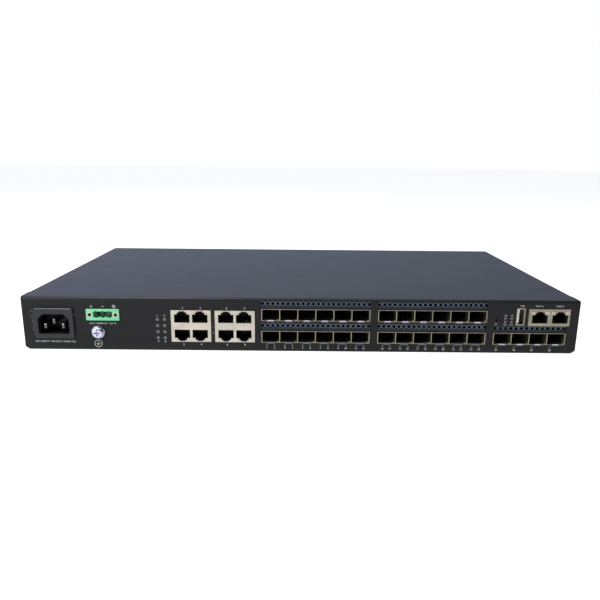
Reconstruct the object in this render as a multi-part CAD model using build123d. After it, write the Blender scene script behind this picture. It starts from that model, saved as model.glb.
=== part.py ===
"""Rackmount network switch, one rack unit high, in millimetres.

Z is up, the front panel faces -Y and X runs to the right as seen from the front.
The origin is under the middle of the case, on the surface that it stands on.
"""

from build123d import *
from math import atan2, cos, pi, radians, sin, tan
import os

# Case
WIDTH = 440.0
DEPTH = 240.0
HEIGHT = 43.6
PANEL_SHEET = 1.2
TRAY_SHEET = 1.0
COVER_SHEET = 1.0
CORNER_CUT_WIDE = 3.6
CORNER_CUT_HIGH = 2.5
TOP_RETURN = 15.3
SIDE_RETURN = 7.0
TOP_BEND_RADIUS = 2.2
BOTTOM_BEND_RADIUS = 1.0
SEAM_GAP = 0.5
COVER_INSET = 0.4
COVER_CORNER = 1.6
SLIP_GAP = 0.1
HOLE_GAP = 0.05
CUTOUT_GAP = 0.15

FRONT = -DEPTH / 2
BACK = DEPTH / 2
PANEL_BACK = FRONT + PANEL_SHEET
REAR_INSIDE = BACK - PANEL_SHEET
WALL_TOP = HEIGHT - PANEL_SHEET
SIDE_INSIDE = WIDTH / 2 - TRAY_SHEET

# Cover fixings
HOOK_LIP = 6.0
COVER_FLANGE_HIGH = 12.0
COVER_FLANGE_FRONT = 50.0
COVER_FLANGE_REAR = 12.0
COVER_SCREW_RADIUS = 1.5
COVER_SCREW_HEAD = 2.6
COVER_SCREW_LONG = 5.0
COVER_SCREW_DOWN = 7.0
COVER_SCREWS_A_SIDE = 3

# Sheet rivets
RIVET_RADIUS = 1.6
RIVET_HEAD_RADIUS = 2.8
RIVET_HEAD = 0.8
RIVET_HEIGHTS = (7.5, 37.0)

# Side holes for rack ears
EAR_THREAD_RADIUS = 2.0
EAR_NUT_RADIUS = 4.0
EAR_NUT_LONG = 2.5
EAR_SPACING_Y = 28.0
EAR_SPACING_Z = 22.0
EAR_CENTRE_FROM_FRONT = 28.0
EAR_CENTRE_Z = 21.8

# Earth screw on the front
EARTH_X = -160.9
EARTH_Z = 14.9
EARTH_THREAD_RADIUS = 2.5
EARTH_HEAD_RADIUS = 4.5
EARTH_HEAD = 3.0
EARTH_LONG = 9.0
EARTH_WASHER_RADIUS = 5.1
EARTH_WASHER = 0.7
EARTH_NUT_ACROSS = 8.0
EARTH_NUT = 4.0
EARTH_NUT_FLATS = 6

# Mains inlet
INLET_X = -195.1
INLET_Z = 22.1
INLET_FLANGE_WIDE = 31.4
INLET_FLANGE_HIGH = 24.6
INLET_FLANGE_THICK = 2.0
INLET_FLANGE_CORNER = 2.2
INLET_BODY_WIDE = 27.0
INLET_BODY_HIGH = 19.8
INLET_BODY_LONG = 23.0
INLET_MOUTH_WIDE = 24.4
INLET_MOUTH_HIGH = 16.4
INLET_MOUTH_LOWERED = 0.55
INLET_MOUTH_DEEP = 17.0
INLET_MOUTH_BEVEL = 4.0
INLET_MOUTH_CORNER = 1.4
INLET_BLADE_PITCH = 7.0
INLET_BLADE_WIDE = 2.0
INLET_BLADE_HIGH = 4.0
INLET_BLADE_BACK = 1.0
INLET_BLADE_DROP = 2.45
INLET_EARTH_RISE = 1.45
INLET_TERMINAL_LONG = 5.0
INLET_TERMINAL_THICK = 0.8

# Direct-current header
HEADER_X = -156.3
HEADER_Z = 29.25
HEADER_WIDE = 26.2
HEADER_HIGH = 9.3
HEADER_PROUD = 1.0
HEADER_LONG = 11.0
HEADER_MOUTH_WIDE = 15.0
HEADER_MOUTH_HIGH = 4.5
HEADER_MOUTH_RAISED = 0.4
HEADER_MOUTH_DEEP = 8.5
HEADER_PITCH = 5.08
HEADER_PINS = 3
HEADER_PIN = 0.9
HEADER_PIN_BACK = 1.4
HEADER_BUSH_SPACING = 20.32
HEADER_BUSH_RADIUS = 1.75
HEADER_BUSH_BORE = 1.15
HEADER_BUSH_LONG = 6.0
HEADER_KEY_WIDE = 1.2
HEADER_KEY_HIGH = 0.6
ENTRY_BOARD_WIDE = 30.0
ENTRY_BOARD_HIGH = 22.0
ENTRY_BOARD_UP = 14.0

# Boards
BOARD = 1.6
MAIN_BOARD_TOP = 7.4
MAIN_BOARD_LEFT = -117.5
MAIN_BOARD_RIGHT = 215.0
MAIN_BOARD_REAR_GAP = 25.0
UPPER_BOARD_RISE = 17.95
UPPER_BOARD_OVERHANG = 2.2
UPPER_BOARD_REAR = 15.0
SERVICE_BOARD_RISE = 15.55
SERVICE_BOARD_LEFT = 152.3
SERVICE_BOARD_RIGHT = 214.8
SERVICE_BOARD_DEEP = 58.0
BOARD_FRONT_GAP = 0.7
STANDOFF_RADIUS = 3.0
TALL_STANDOFF_RADIUS = 2.2
BOARD_SCREW_RADIUS = 1.25
BOARD_SCREW_HEAD_RADIUS = 2.4
BOARD_SCREW_HEAD = 1.6
BOARD_SCREW_LONG = 4.0
STANDOFF_BORE_SPARE = 0.6

# Pluggable-module cages
CAGE_PITCH = 14.25
CAGE_WALL = 0.6
CAGE_SKIN = 0.35
CAGE_HIGH = 9.65
CAGE_DEEP = 48.0
CAGE_PROUD = 0.5
CAGES_IN_ROW = 6
CAGES_IN_SERVICE_ROW = 4
LEFT_CAGES_X = -31.3
RIGHT_CAGES_X = 61.0
SERVICE_CAGES_X = 153.2
TONGUE_WIDE = 5.3
TONGUE_FOOT_WIDE = 6.2
TONGUE_THICK = 0.25
TONGUE_LONG = 16.0
TONGUE_DROP = 0.75
TONGUE_LATCH_HOLE = 1.5
TONGUE_LATCH_BACK = 8.0
HOST_WIDE = 11.2
HOST_HIGH = 5.4
HOST_DEEP = 10.0
HOST_BACK = 12.0
HOST_SLOT_HIGH = 1.2
HOST_SLOT_WIDE = 9.4
HOST_SLOT_DEEP = 6.0

# Perforated strips over the cages
VENT_SHEET = 0.5
VENT_HOLE_WIDE = 2.8
VENT_HOLE_HIGH = 2.6
VENT_HOLE_CORNER = 0.6
VENT_PITCH = 4.0
VENT_PITCH_SERVICE = 4.2
VENTS_IN_ROW = 22
VENTS_IN_SERVICE_ROW = 14
VENT_ABOVE_CAGE = 4.2
VENT_ABOVE_CAGE_SERVICE = 3.75
WINDOW_ABOVE_CAGE = 6.3
WINDOW_ABOVE_CAGE_SERVICE = 5.2
VENT_LAP = 0.8
VENT_LAP_SERVICE = 0.35
VENT_RIB_ABOVE_CAGE = 1.55
VENT_RIB_HIGH = 0.8
VENT_RIB_PROUD = 0.7

# Copper jacks, in blocks of two by two
JACK_BLOCKS_X = (-102.8, -68.1)
JACK_BLOCK_WIDE = 31.6
JACK_BLOCK_HIGH = 25.9
JACK_BLOCK_DEEP = 25.0
JACK_PROUD = 0.4
JACK_SKIN = 0.3
JACK_PITCH = 14.2
JACK_FIRST = 8.7
JACK_MOUTH_WIDE = 12.1
JACK_MOUTH_HIGH = 6.7
JACK_LOWER_MOUTH = 3.3
JACK_UPPER_MOUTH = 15.9
JACK_STEP_WIDE = (7.5, 4.6)
JACK_STEP_HIGH = (1.6, 1.05)
JACK_CAVITY_DEEP = 15.0
JACK_CAVITY_GAP = 0.1
CONTACTS = 8
CONTACT_PITCH = 1.02
CONTACT_WIDE = 0.45
CONTACT_THICK = 0.3
CONTACT_LONG = 7.0
CONTACT_RISE = 1.1
CONTACT_BACK = 5.5

# Management and console jacks, side by side
SERVICE_JACK_X = 179.9
SERVICE_JACK_WIDE = 32.8
SERVICE_JACK_HIGH = 13.85
SERVICE_JACK_DEEP = 21.0
SERVICE_JACK_PITCH = 16.0
SERVICE_JACK_FIRST = 9.0
SERVICE_MOUTH_WIDE = 12.2
SERVICE_MOUTH_UP = 2.35
SERVICE_LIGHT_WIDE = 3.0
SERVICE_LIGHT_HIGH = 2.0
SERVICE_LIGHT_LONG = 12.0
SERVICE_LIGHT_SPREAD = 5.6
SERVICE_LIGHT_UP = 10.6
SERVICE_JACKS = 2

# Upright USB socket
USB_X = 173.5
USB_Z = 30.5
USB_WIDE = 5.8
USB_HIGH = 13.0
USB_SKIN = 0.3
USB_DEEP = 18.0
USB_PROUD = 0.6
USB_LIP = 0.45
USB_LIP_LONG = 0.8
USB_TONGUE_THICK = 1.8
USB_TONGUE_HIGH = 11.1
USB_TONGUE_BACK = 1.8
USB_BASE_LONG = 5.0
USB_CONTACTS = 4
USB_CONTACT_PITCH = 2.3
USB_CONTACT_WIDE = 1.2
USB_CONTACT_THICK = 0.2

# Reset button behind its pinhole
RESET_X = 154.8
RESET_Z = 27.5
RESET_PINHOLE_RADIUS = 0.95
RESET_PLUNGER_RADIUS = 0.8
RESET_PLUNGER_GAP = 0.6
RESET_PLUNGER_LONG = 6.0
RESET_RUNNING_GAP = 0.05
RESET_TRAVEL = 0.3
RESET_BODY_WIDE = 5.0
RESET_BODY_DEEP = 4.5
RESET_BODY_ABOVE = 3.0
RESET_BODY_BEHIND_PANEL = 4.0

# Lights
PORT_LIGHTS_X = (-113.5, -107.9)
PORT_LIGHTS_Z = (25.75, 20.6, 15.55, 10.55)
PORT_LIGHT_RADIUS = 1.2
STATUS_LIGHTS_X = (161.8, 166.75)
STATUS_LIGHTS_Z = (31.25, 26.1)
STATUS_LIGHT_RADIUS = 1.0
LIGHT_PROUD = 0.2
LIGHT_GAP = 0.1
LIGHT_REACH = 7.0
LIGHT_REACH_STEP = 4.0
LIGHT_ABOVE_BOARD = 1.0
CAGE_LIGHT_SIDE = 1.7
CAGE_LIGHT_DROP = 2.2
CAGE_LIGHT_SPREAD = 3.05

# Power supply, with places as x and the distance from the front
POWER_LEFT = -214.0
POWER_RIGHT = -124.0
POWER_FRONT_GAP = 36.0
POWER_REAR_GAP = 20.0
INSULATOR = 0.25
INSULATOR_MARGIN = 2.0
TRANSFORMER = (34.0, 30.0, 27.0)
TRANSFORMER_AT = (-163.0, 112.0)
TRANSFORMER_CORE_WIDE = 12.0
CHOKE_AT = ((-199.0, 62.0), (-176.0, 62.0))
CHOKE_RADIUS = 8.5
CHOKE_BORE = 3.5
CHOKE_HIGH = 14.0
CAPACITOR_AT = ((-201.0, 90.0), (-201.0, 112.0))
CAPACITOR_RADIUS = 9.0
CAPACITOR_HIGH = 27.0
SMALL_CAPACITOR_AT = ((-137.0, 148.0), (-137.0, 159.5), (-137.0, 171.0))
SMALL_CAPACITOR_RADIUS = 5.0
SMALL_CAPACITOR_HIGH = 20.0
POWER_SINKS_AT = ((-183.0, 108.0), (-163.0, 152.0))
POWER_SINK_LONG = 46.0
POWER_SINK_BASE = 2.5
POWER_SINK_HIGH = 27.0
POWER_SINK_FINS = 6
POWER_SINK_FIN = 1.2
POWER_SINK_FIN_LONG = 6.0

# Leads
AC_LEAD_RADIUS = 0.9
DC_LEAD_RADIUS = 0.8
FAN_LEAD_RADIUS = 0.6
LEAD_STRAIGHT = 6.0
AC_LEAD_RISE = 7.5
DC_LEAD_FALL = 3.0
FAN_LEAD_STRAIGHT = 4.8
FAN_LEAD_FALL = 1.5
LEAD_CONNECTOR_HIGH = 7.5
LEAD_CONNECTOR_DEEP = 7.0
LEAD_CONNECTOR_FROM_FRONT = 42.0
OUTPUT_CONNECTOR_FROM_FRONT = 150.0
OUTPUT_LEADS = 4
OUTPUT_LEAD_PITCH = 3.0
OUTPUT_LEAD_RISE = 11.0

# Cooling
FAN_X = (-20.0, 100.0)
FAN_SIZE = 40.0
FAN_DEEP = 20.0
FAN_Z = 21.1
FAN_CORNER = 2.5
FAN_BORE = 18.9
FAN_HOLE_SPACING = 32.0
FAN_HOLE_RADIUS = 1.7
FAN_TIP_GAP = 0.6
FAN_HUB_RADIUS = 10.5
FAN_HUB_SKIN = 1.0
FAN_HUB_LONG = 14.0
FAN_BASE_RADIUS = 10.5
FAN_BASE_THICK = 2.0
FAN_STRUT_WIDE = 2.0
FAN_STRUTS = 4
FAN_SLEEVE_RADIUS = 2.5
FAN_SLEEVE_LONG = 9.0
FAN_SHAFT_RADIUS = 1.0
FAN_SHAFT_LONG = 11.0
FAN_RUNNING_GAP = 0.05
FAN_BLADES = 7
FAN_BLADE_THICK = 1.0
FAN_BLADE_CHORD = 12.5
FAN_BLADE_TILT = 38.0
FAN_FRONT_GAP = 1.2
FAN_SCREW_LONG = 8.0
FAN_SCREW_HEAD = 2.9
GRILLE_HOLE_RADIUS = 1.7
GRILLE_PITCH = 4.3
GRILLE_RADIUS = 18.6
SWITCH_CHIP = (38.0, 38.0, 2.6)
SWITCH_CHIP_AT = (48.0, 124.0)
SWITCH_SINK_SIZE = 62.0
SWITCH_SINK_BASE = 4.0
SWITCH_SINK_TOP = 37.0
SWITCH_SINK_FINS = 13
SWITCH_SINK_FIN = 1.2
CHIPS = (
    (-87.0, 54.0, 23.0, 2.2),
    (-52.0, 54.0, 23.0, 2.2),
    (-28.0, 100.0, 14.0, 1.4),
    (-28.0, 124.0, 14.0, 1.4),
    (-28.0, 148.0, 14.0, 1.4),
    (118.0, 90.0, 17.0, 1.8),
    (150.0, 90.0, 17.0, 1.8),
    (180.0, 100.0, 27.0, 2.4),
    (180.0, 144.0, 12.0, 1.2),
)


def span(centre, size):
    """The two ends of a length about its middle."""
    return (centre - size / 2, centre + size / 2)


def block(x, y, z):
    """A box from its three (low, high) pairs."""
    size = [high - low for low, high in (x, y, z)]
    centre = [(high + low) / 2 for low, high in (x, y, z)]
    return Pos(*centre) * Box(*size)


def plate(sketch, front, back):
    """An (x, z) sketch made into a plate between two depths."""
    face = Plane((0, back, 0), x_dir=(1, 0, 0), z_dir=(0, -1, 0))
    return extrude(face * sketch, amount=back - front)


def rect(x, z):
    """A flat rectangle from its two (low, high) pairs."""
    centre = Pos((x[0] + x[1]) / 2, (z[0] + z[1]) / 2)
    return centre * Rectangle(x[1] - x[0], z[1] - z[0])


def rod(x, z, radius, front, back):
    """A round bar along Y."""
    return plate(Pos(x, z) * Circle(radius), front, back)


def post(x, y, radius, low, high):
    """A round bar along Z."""
    return Pos(x, y, (low + high) / 2) * Cylinder(radius, high - low)


def steps(count, pitch):
    """Evenly spaced places about a middle."""
    return [(i - (count - 1) / 2) * pitch for i in range(count)]


def triangle(x, z, side, point_up):
    """A flat triangle of equal sides about its middle."""
    turn = 90 if point_up else -90
    return Pos(x, z) * Rot(0, 0, turn) * RegularPolygon(side * 3**-0.5, 3)


# ---------------------------------------------------------------- case


def case_section(inset, top):
    """The case seen from the front, with its two lower corners cut."""
    half = WIDTH / 2 - inset
    slope = atan2(CORNER_CUT_HIGH, CORNER_CUT_WIDE)
    cut_wide = CORNER_CUT_WIDE - inset * (1 - tan(slope / 2))
    cut_high = CORNER_CUT_HIGH - inset * (1 - tan(pi / 4 - slope / 2))
    return make_face(
        Polyline(
            (-half + cut_wide, inset),
            (half - cut_wide, inset),
            (half, inset + cut_high),
            (half, top),
            (-half, top),
            (-half, inset + cut_high),
            close=True,
        )
    )


def cover_screw_places():
    """Depth of each screw along one side of the cover."""
    front = FRONT + COVER_FLANGE_FRONT + 8
    rear = BACK - COVER_FLANGE_REAR - 8
    gap = (rear - front) / (COVER_SCREWS_A_SIDE - 1)
    return [front + i * gap for i in range(COVER_SCREWS_A_SIDE)]


def ear_nut_places():
    """Depth and height of the rack-ear holes, the same on both sides."""
    depths = span(FRONT + EAR_CENTRE_FROM_FRONT, EAR_SPACING_Y)
    heights = span(EAR_CENTRE_Z, EAR_SPACING_Z)
    return [(y, z) for y in depths for z in heights]


def side_bar(side, y, z, radius, outer, inner):
    """A round bar along X on one side of the case, from its outer to its inner end."""
    middle = side * (outer + inner) / 2
    return Pos(middle, y, z) * Rot(0, 90, 0) * Cylinder(radius, outer - inner)


def side_cone(side, y, z, head, shank, outer, inner):
    """A countersunk head along X, wide at its outer end."""
    middle = side * (outer + inner) / 2
    return Pos(middle, y, z) * Rot(0, 90 * side, 0) * Cone(shank, head, outer - inner)


def rivet_places():
    """Depth of the panel rivets on each side wall, for the front and the rear panel."""
    return (PANEL_BACK + SIDE_RETURN / 2, REAR_INSIDE - SIDE_RETURN / 2)


def chassis_tray():
    """Floor and both side walls, folded from one sheet."""
    outer = plate(case_section(0, WALL_TOP), PANEL_BACK, REAR_INSIDE)
    inner = plate(case_section(TRAY_SHEET, HEIGHT), FRONT, BACK)
    tray = outer - inner
    cuts = []
    for side in (-1, 1):
        for y in cover_screw_places():
            z = WALL_TOP - COVER_SCREW_DOWN
            head = COVER_SCREW_HEAD + HOLE_GAP
            shank = COVER_SCREW_RADIUS + HOLE_GAP
            cuts.append(side_cone(side, y, z, head, shank, WIDTH / 2, SIDE_INSIDE))
        for y, z in ear_nut_places():
            cuts.append(side_bar(side, y, z, EAR_THREAD_RADIUS, WIDTH / 2, SIDE_INSIDE))
        for y in rivet_places():
            for z in RIVET_HEIGHTS:
                radius = RIVET_RADIUS + HOLE_GAP
                cuts.append(side_bar(side, y, z, radius, WIDTH / 2, SIDE_INSIDE))
    return [tray - cuts]


def side_returns(front, back):
    """A panel's two inner tabs along the side walls, with their rivet holes."""
    tabs = []
    low, high = TRAY_SHEET + CORNER_CUT_HIGH, WALL_TOP - PANEL_SHEET
    for side in (-1, 1):
        x = sorted((side * SIDE_INSIDE, side * (SIDE_INSIDE - PANEL_SHEET)))
        tab = block(x, (front, back), (low, high))
        for z in RIVET_HEIGHTS:
            y = (front + back) / 2
            tab -= side_bar(side, y, z, RIVET_RADIUS + HOLE_GAP, WIDTH / 2, SIDE_INSIDE - 5)
        tabs.append(tab)
    return tabs


def front_panel():
    """The front sheet, folded over the top edge, with a window for every port."""
    face = case_section(0, HEIGHT) - panel_windows()
    sheet = plate(face, FRONT, PANEL_BACK)
    top = block(span(0, WIDTH), (FRONT, FRONT + TOP_RETURN), (WALL_TOP, HEIGHT))
    bottom_wide = WIDTH - 2 * (TRAY_SHEET + CORNER_CUT_WIDE)
    bottom_high = (TRAY_SHEET, TRAY_SHEET + PANEL_SHEET)
    bottom = block(span(0, bottom_wide), (FRONT, PANEL_BACK + SIDE_RETURN), bottom_high)
    bottom -= block(span(0, WIDTH), (FRONT, PANEL_BACK - 0.01), bottom_high)
    panel = sheet + top + bottom
    panel += side_returns(PANEL_BACK, PANEL_BACK + SIDE_RETURN)
    for z, radius in ((HEIGHT, TOP_BEND_RADIUS), (0, BOTTOM_BEND_RADIUS)):
        bend = panel.edges().filter_by(Axis.X).filter_by_position(Axis.Z, z, z)
        panel = fillet(bend.filter_by_position(Axis.Y, FRONT, FRONT), radius)
    return [panel]


def panel_windows():
    """Every opening of the front panel, drawn with x and z."""
    gap = CUTOUT_GAP
    holes = [
        Pos(INLET_X, INLET_Z) * Rectangle(INLET_BODY_WIDE + gap, INLET_BODY_HIGH + gap),
        Pos(HEADER_X, HEADER_Z) * Rectangle(HEADER_WIDE + gap, HEADER_HIGH + gap),
        Pos(EARTH_X, EARTH_Z) * Circle(EARTH_THREAD_RADIUS + gap),
        Pos(RESET_X, RESET_Z) * Circle(RESET_PINHOLE_RADIUS),
        Pos(USB_X, USB_Z) * Rectangle(USB_WIDE + 2 * gap, USB_HIGH + 2 * gap),
    ]
    for x in JACK_BLOCKS_X:
        wide = (x - gap, x + JACK_BLOCK_WIDE + gap)
        high = (MAIN_BOARD_TOP - gap, MAIN_BOARD_TOP + JACK_BLOCK_HIGH + gap)
        holes.append(rect(wide, high))
    wide = (SERVICE_JACK_X - gap, SERVICE_JACK_X + SERVICE_JACK_WIDE + gap)
    high = (service_board_top() - gap / 3, service_board_top() + SERVICE_JACK_HIGH + gap)
    holes.append(rect(wide, high))
    for row in cage_rows():
        holes.append(rect(row["window_x"], row["window_z"]))
    for x, z, radius, _reach, _board in light_places():
        holes.append(Pos(x, z) * Circle(radius + LIGHT_GAP))
    for x, point_up in cage_light_places():
        holes.append(triangle(x, cage_light_z(), CAGE_LIGHT_SIDE + 2 * LIGHT_GAP, point_up))
    return holes


def rear_panel():
    """The rear sheet, with a round grille at each fan and a lip that clears the fans."""
    holes = []
    for x in FAN_X:
        holes += grille_holes(x, FAN_Z)
        for dx in span(0, FAN_HOLE_SPACING):
            for dz in span(0, FAN_HOLE_SPACING):
                holes.append(Pos(x + dx, FAN_Z + dz) * Circle(FAN_HOLE_RADIUS + HOLE_GAP))
    panel = plate(case_section(0, WALL_TOP) - holes, REAR_INSIDE, BACK)
    top_high = (WALL_TOP - PANEL_SHEET, WALL_TOP)
    lip_deep = (REAR_INSIDE - SIDE_RETURN, REAR_INSIDE)
    lip = block(span(0, WIDTH - 2 * (TRAY_SHEET + 2 * PANEL_SHEET)), lip_deep, top_high)
    for x in FAN_X:
        lip -= block(span(x, FAN_SIZE + 2 * SLIP_GAP), lip_deep, top_high)
    panel += [lip, *side_returns(REAR_INSIDE - SIDE_RETURN, REAR_INSIDE)]
    for x in FAN_X:
        for dx in span(0, FAN_HOLE_SPACING):
            for dz in span(0, FAN_HOLE_SPACING):
                panel -= fan_screw_head(x + dx, FAN_Z + dz, HOLE_GAP)
    return [panel]


def grille_holes(x, z):
    """Round holes on a grid of triangles, inside a circle."""
    holes = []
    row_gap = GRILLE_PITCH * sin(radians(60))
    rows = int(GRILLE_RADIUS / row_gap) + 1
    for row in range(-rows, rows + 1):
        for column in range(-rows, rows + 1):
            dx = (column + (row % 2) / 2) * GRILLE_PITCH
            dz = row * row_gap
            if (dx * dx + dz * dz) ** 0.5 <= GRILLE_RADIUS - GRILLE_HOLE_RADIUS:
                holes.append(Pos(x + dx, z + dz) * Circle(GRILLE_HOLE_RADIUS))
    return holes


def top_cover():
    """The flat cover behind the front panel's fold, with two side flanges."""
    front = FRONT + TOP_RETURN + SEAM_GAP
    top = (WALL_TOP, WALL_TOP + COVER_SHEET)
    cover = block(span(0, WIDTH - 2 * COVER_INSET), (front, BACK), top)
    corners = cover.edges().filter_by(Axis.Z).filter_by_position(Axis.Y, BACK, BACK)
    cover = fillet(corners, COVER_CORNER)
    under = (WALL_TOP - COVER_SHEET, WALL_TOP)
    lip_wide = WIDTH - 2 * (TRAY_SHEET + 2 * PANEL_SHEET)
    cover += block(span(0, lip_wide), (front - HOOK_LIP, front + HOOK_LIP / 2), under)
    for side in (-1, 1):
        outer = SIDE_INSIDE - SLIP_GAP
        x = sorted((side * outer, side * (outer - COVER_SHEET)))
        y = (FRONT + COVER_FLANGE_FRONT, BACK - COVER_FLANGE_REAR)
        cover += block(x, y, (WALL_TOP - COVER_FLANGE_HIGH, WALL_TOP))
        for place in cover_screw_places():
            z = WALL_TOP - COVER_SCREW_DOWN
            radius = COVER_SCREW_RADIUS + HOLE_GAP
            cover -= side_bar(side, place, z, radius, SIDE_INSIDE, SIDE_INSIDE - 5)
    return [cover]


def cover_screws():
    """Flush screws through the side walls into the cover's flanges."""
    screws = []
    z = WALL_TOP - COVER_SCREW_DOWN
    for side in (-1, 1):
        for y in cover_screw_places():
            head = side_cone(
                side, y, z, COVER_SCREW_HEAD, COVER_SCREW_RADIUS, WIDTH / 2, SIDE_INSIDE
            )
            tip = WIDTH / 2 - COVER_SCREW_LONG
            shank = side_bar(side, y, z, COVER_SCREW_RADIUS, SIDE_INSIDE, tip)
            screws.append(head + shank)
    return screws


def panel_rivets():
    """Rivets that hold the front and rear panels' tabs to the side walls."""
    rivets = []
    inside = SIDE_INSIDE - PANEL_SHEET
    for side in (-1, 1):
        for y in rivet_places():
            for z in RIVET_HEIGHTS:
                shank = side_bar(side, y, z, RIVET_RADIUS, WIDTH / 2, inside)
                head = side_bar(side, y, z, RIVET_HEAD_RADIUS, inside, inside - RIVET_HEAD)
                rivets.append(shank + head)
    return rivets


def ear_nuts():
    """Threaded clinch nuts for the rack ears."""
    nuts = []
    for side in (-1, 1):
        for y, z in ear_nut_places():
            inner = SIDE_INSIDE - EAR_NUT_LONG
            nut = side_bar(side, y, z, EAR_NUT_RADIUS, SIDE_INSIDE, inner)
            nuts.append(nut - side_bar(side, y, z, EAR_THREAD_RADIUS, WIDTH / 2, inner))
    return nuts


def earth_screw():
    """Pan-head screw with a cross recess."""
    under_head = FRONT - EARTH_WASHER
    crown = rod(EARTH_X, EARTH_Z, EARTH_HEAD_RADIUS, under_head - EARTH_HEAD, under_head)
    rim = crown.edges().filter_by(GeomType.CIRCLE).sort_by(Axis.Y)[0]
    crown = fillet(rim, EARTH_HEAD * 0.6)
    shank = rod(EARTH_X, EARTH_Z, EARTH_THREAD_RADIUS, under_head, FRONT + EARTH_LONG)
    arm, slot = EARTH_HEAD_RADIUS * 1.1, EARTH_HEAD * 0.35
    face = under_head - EARTH_HEAD
    cross = [
        block(span(EARTH_X, arm), (face, face + slot * 1.6), span(EARTH_Z, slot)),
        block(span(EARTH_X, slot), (face, face + slot * 1.6), span(EARTH_Z, arm)),
    ]
    return [crown + shank - cross]


def earth_washer():
    """Flat ring under the head."""
    ring = Circle(EARTH_WASHER_RADIUS) - Circle(EARTH_THREAD_RADIUS + HOLE_GAP)
    return [plate(Pos(EARTH_X, EARTH_Z) * ring, FRONT - EARTH_WASHER, FRONT)]


def earth_nut():
    """Hexagon nut behind the panel."""
    corner = EARTH_NUT_ACROSS / (2 * cos(radians(30)))
    ring = RegularPolygon(corner, EARTH_NUT_FLATS) - Circle(EARTH_THREAD_RADIUS + HOLE_GAP)
    return [plate(Pos(EARTH_X, EARTH_Z) * ring, PANEL_BACK, PANEL_BACK + EARTH_NUT)]


# ---------------------------------------------------------------- power entry


def inlet_mouth():
    """The inlet's opening: both upper corners cut, both lower corners rounded."""
    wide, high = INLET_MOUTH_WIDE / 2, INLET_MOUTH_HIGH / 2
    cut, turn = INLET_MOUTH_BEVEL, INLET_MOUTH_CORNER
    outline = make_face(
        Polyline(
            (-wide, -high),
            (wide, -high),
            (wide, high - cut),
            (wide - cut, high),
            (-wide + cut, high),
            (-wide, high - cut),
            close=True,
        )
    )
    lower = outline.vertices().sort_by(Axis.Y)[:2]
    return Pos(INLET_X, INLET_Z - INLET_MOUTH_LOWERED) * fillet(lower, turn)


def inlet_blade_places():
    """Middle of each blade: the two outer ones low, the earth blade high."""
    low = INLET_Z - INLET_BLADE_DROP
    high = INLET_Z + INLET_EARTH_RISE
    return [
        (INLET_X - INLET_BLADE_PITCH, low),
        (INLET_X, high),
        (INLET_X + INLET_BLADE_PITCH, low),
    ]


def ac_inlet_housing():
    """Snap-in mains inlet, open at the front."""
    flange = RectangleRounded(INLET_FLANGE_WIDE, INLET_FLANGE_HIGH, INLET_FLANGE_CORNER)
    face = FRONT - INLET_FLANGE_THICK
    housing = plate(Pos(INLET_X, INLET_Z) * flange, face, FRONT)
    rim = housing.edges().filter_by_position(Axis.Y, face, face)
    housing = chamfer(rim, 0.5)
    body = Rectangle(INLET_BODY_WIDE - CUTOUT_GAP, INLET_BODY_HIGH - CUTOUT_GAP)
    housing += plate(Pos(INLET_X, INLET_Z) * body, FRONT, face + INLET_BODY_LONG)
    housing -= plate(inlet_mouth(), face, face + INLET_MOUTH_DEEP)
    for x, z in inlet_blade_places():
        slot = rect(span(x, INLET_BLADE_WIDE), span(z, INLET_BLADE_HIGH))
        housing -= plate(slot, face, face + INLET_BODY_LONG)
    return [housing]


def ac_inlet_blades():
    """Three flat blades, each with a narrow terminal behind the housing."""
    blades = []
    face = FRONT - INLET_FLANGE_THICK
    rear = face + INLET_BODY_LONG
    for x, z in inlet_blade_places():
        tip = face + INLET_BLADE_BACK
        blade = block(span(x, INLET_BLADE_WIDE), (tip, rear), span(z, INLET_BLADE_HIGH))
        nose = blade.edges().filter_by_position(Axis.Y, tip, tip)
        blade = chamfer(nose, INLET_BLADE_WIDE / 5)
        tail = (rear, rear + INLET_TERMINAL_LONG)
        blade += block(span(x, INLET_TERMINAL_THICK), tail, span(z, INLET_BLADE_HIGH))
        blades.append(blade)
    return blades


def header_pin_places():
    """Middle of each header pin along X."""
    return [HEADER_X + dx for dx in steps(HEADER_PINS, HEADER_PITCH)]


def header_bush_places():
    """Middle of each threaded bush along X."""
    return span(HEADER_X, HEADER_BUSH_SPACING)


def header_mouth():
    """The header's opening, with key slots above and scallops below."""
    z = HEADER_Z + HEADER_MOUTH_RAISED
    mouth = rect(span(HEADER_X, HEADER_MOUTH_WIDE), span(z, HEADER_MOUTH_HIGH))
    for x in header_pin_places():
        top = z + HEADER_MOUTH_HIGH / 2
        mouth += rect(span(x, HEADER_KEY_WIDE), (top, top + HEADER_KEY_HIGH))
        scallop = Pos(x, z - HEADER_MOUTH_HIGH / 2 + 1.2) * Circle(2.0)
        mouth += scallop & rect(span(x, 4.0), (z - HEADER_MOUTH_HIGH, z))
    return mouth


def dc_header_housing():
    """Three-way plug-in terminal header with two screw flanges."""
    face = FRONT - HEADER_PROUD
    rear = face + HEADER_LONG
    shape = RectangleRounded(HEADER_WIDE - CUTOUT_GAP, HEADER_HIGH - CUTOUT_GAP, 0.5)
    housing = plate(Pos(HEADER_X, HEADER_Z) * shape, face, rear)
    housing -= plate(header_mouth(), face, face + HEADER_MOUTH_DEEP)
    for x in header_pin_places():
        pin = rect(span(x, HEADER_PIN), span(HEADER_Z, HEADER_PIN))
        housing -= plate(pin, face, rear)
    for x in header_bush_places():
        housing -= rod(x, HEADER_Z, HEADER_BUSH_RADIUS, face, face + HEADER_BUSH_LONG)
    return [housing]


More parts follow.
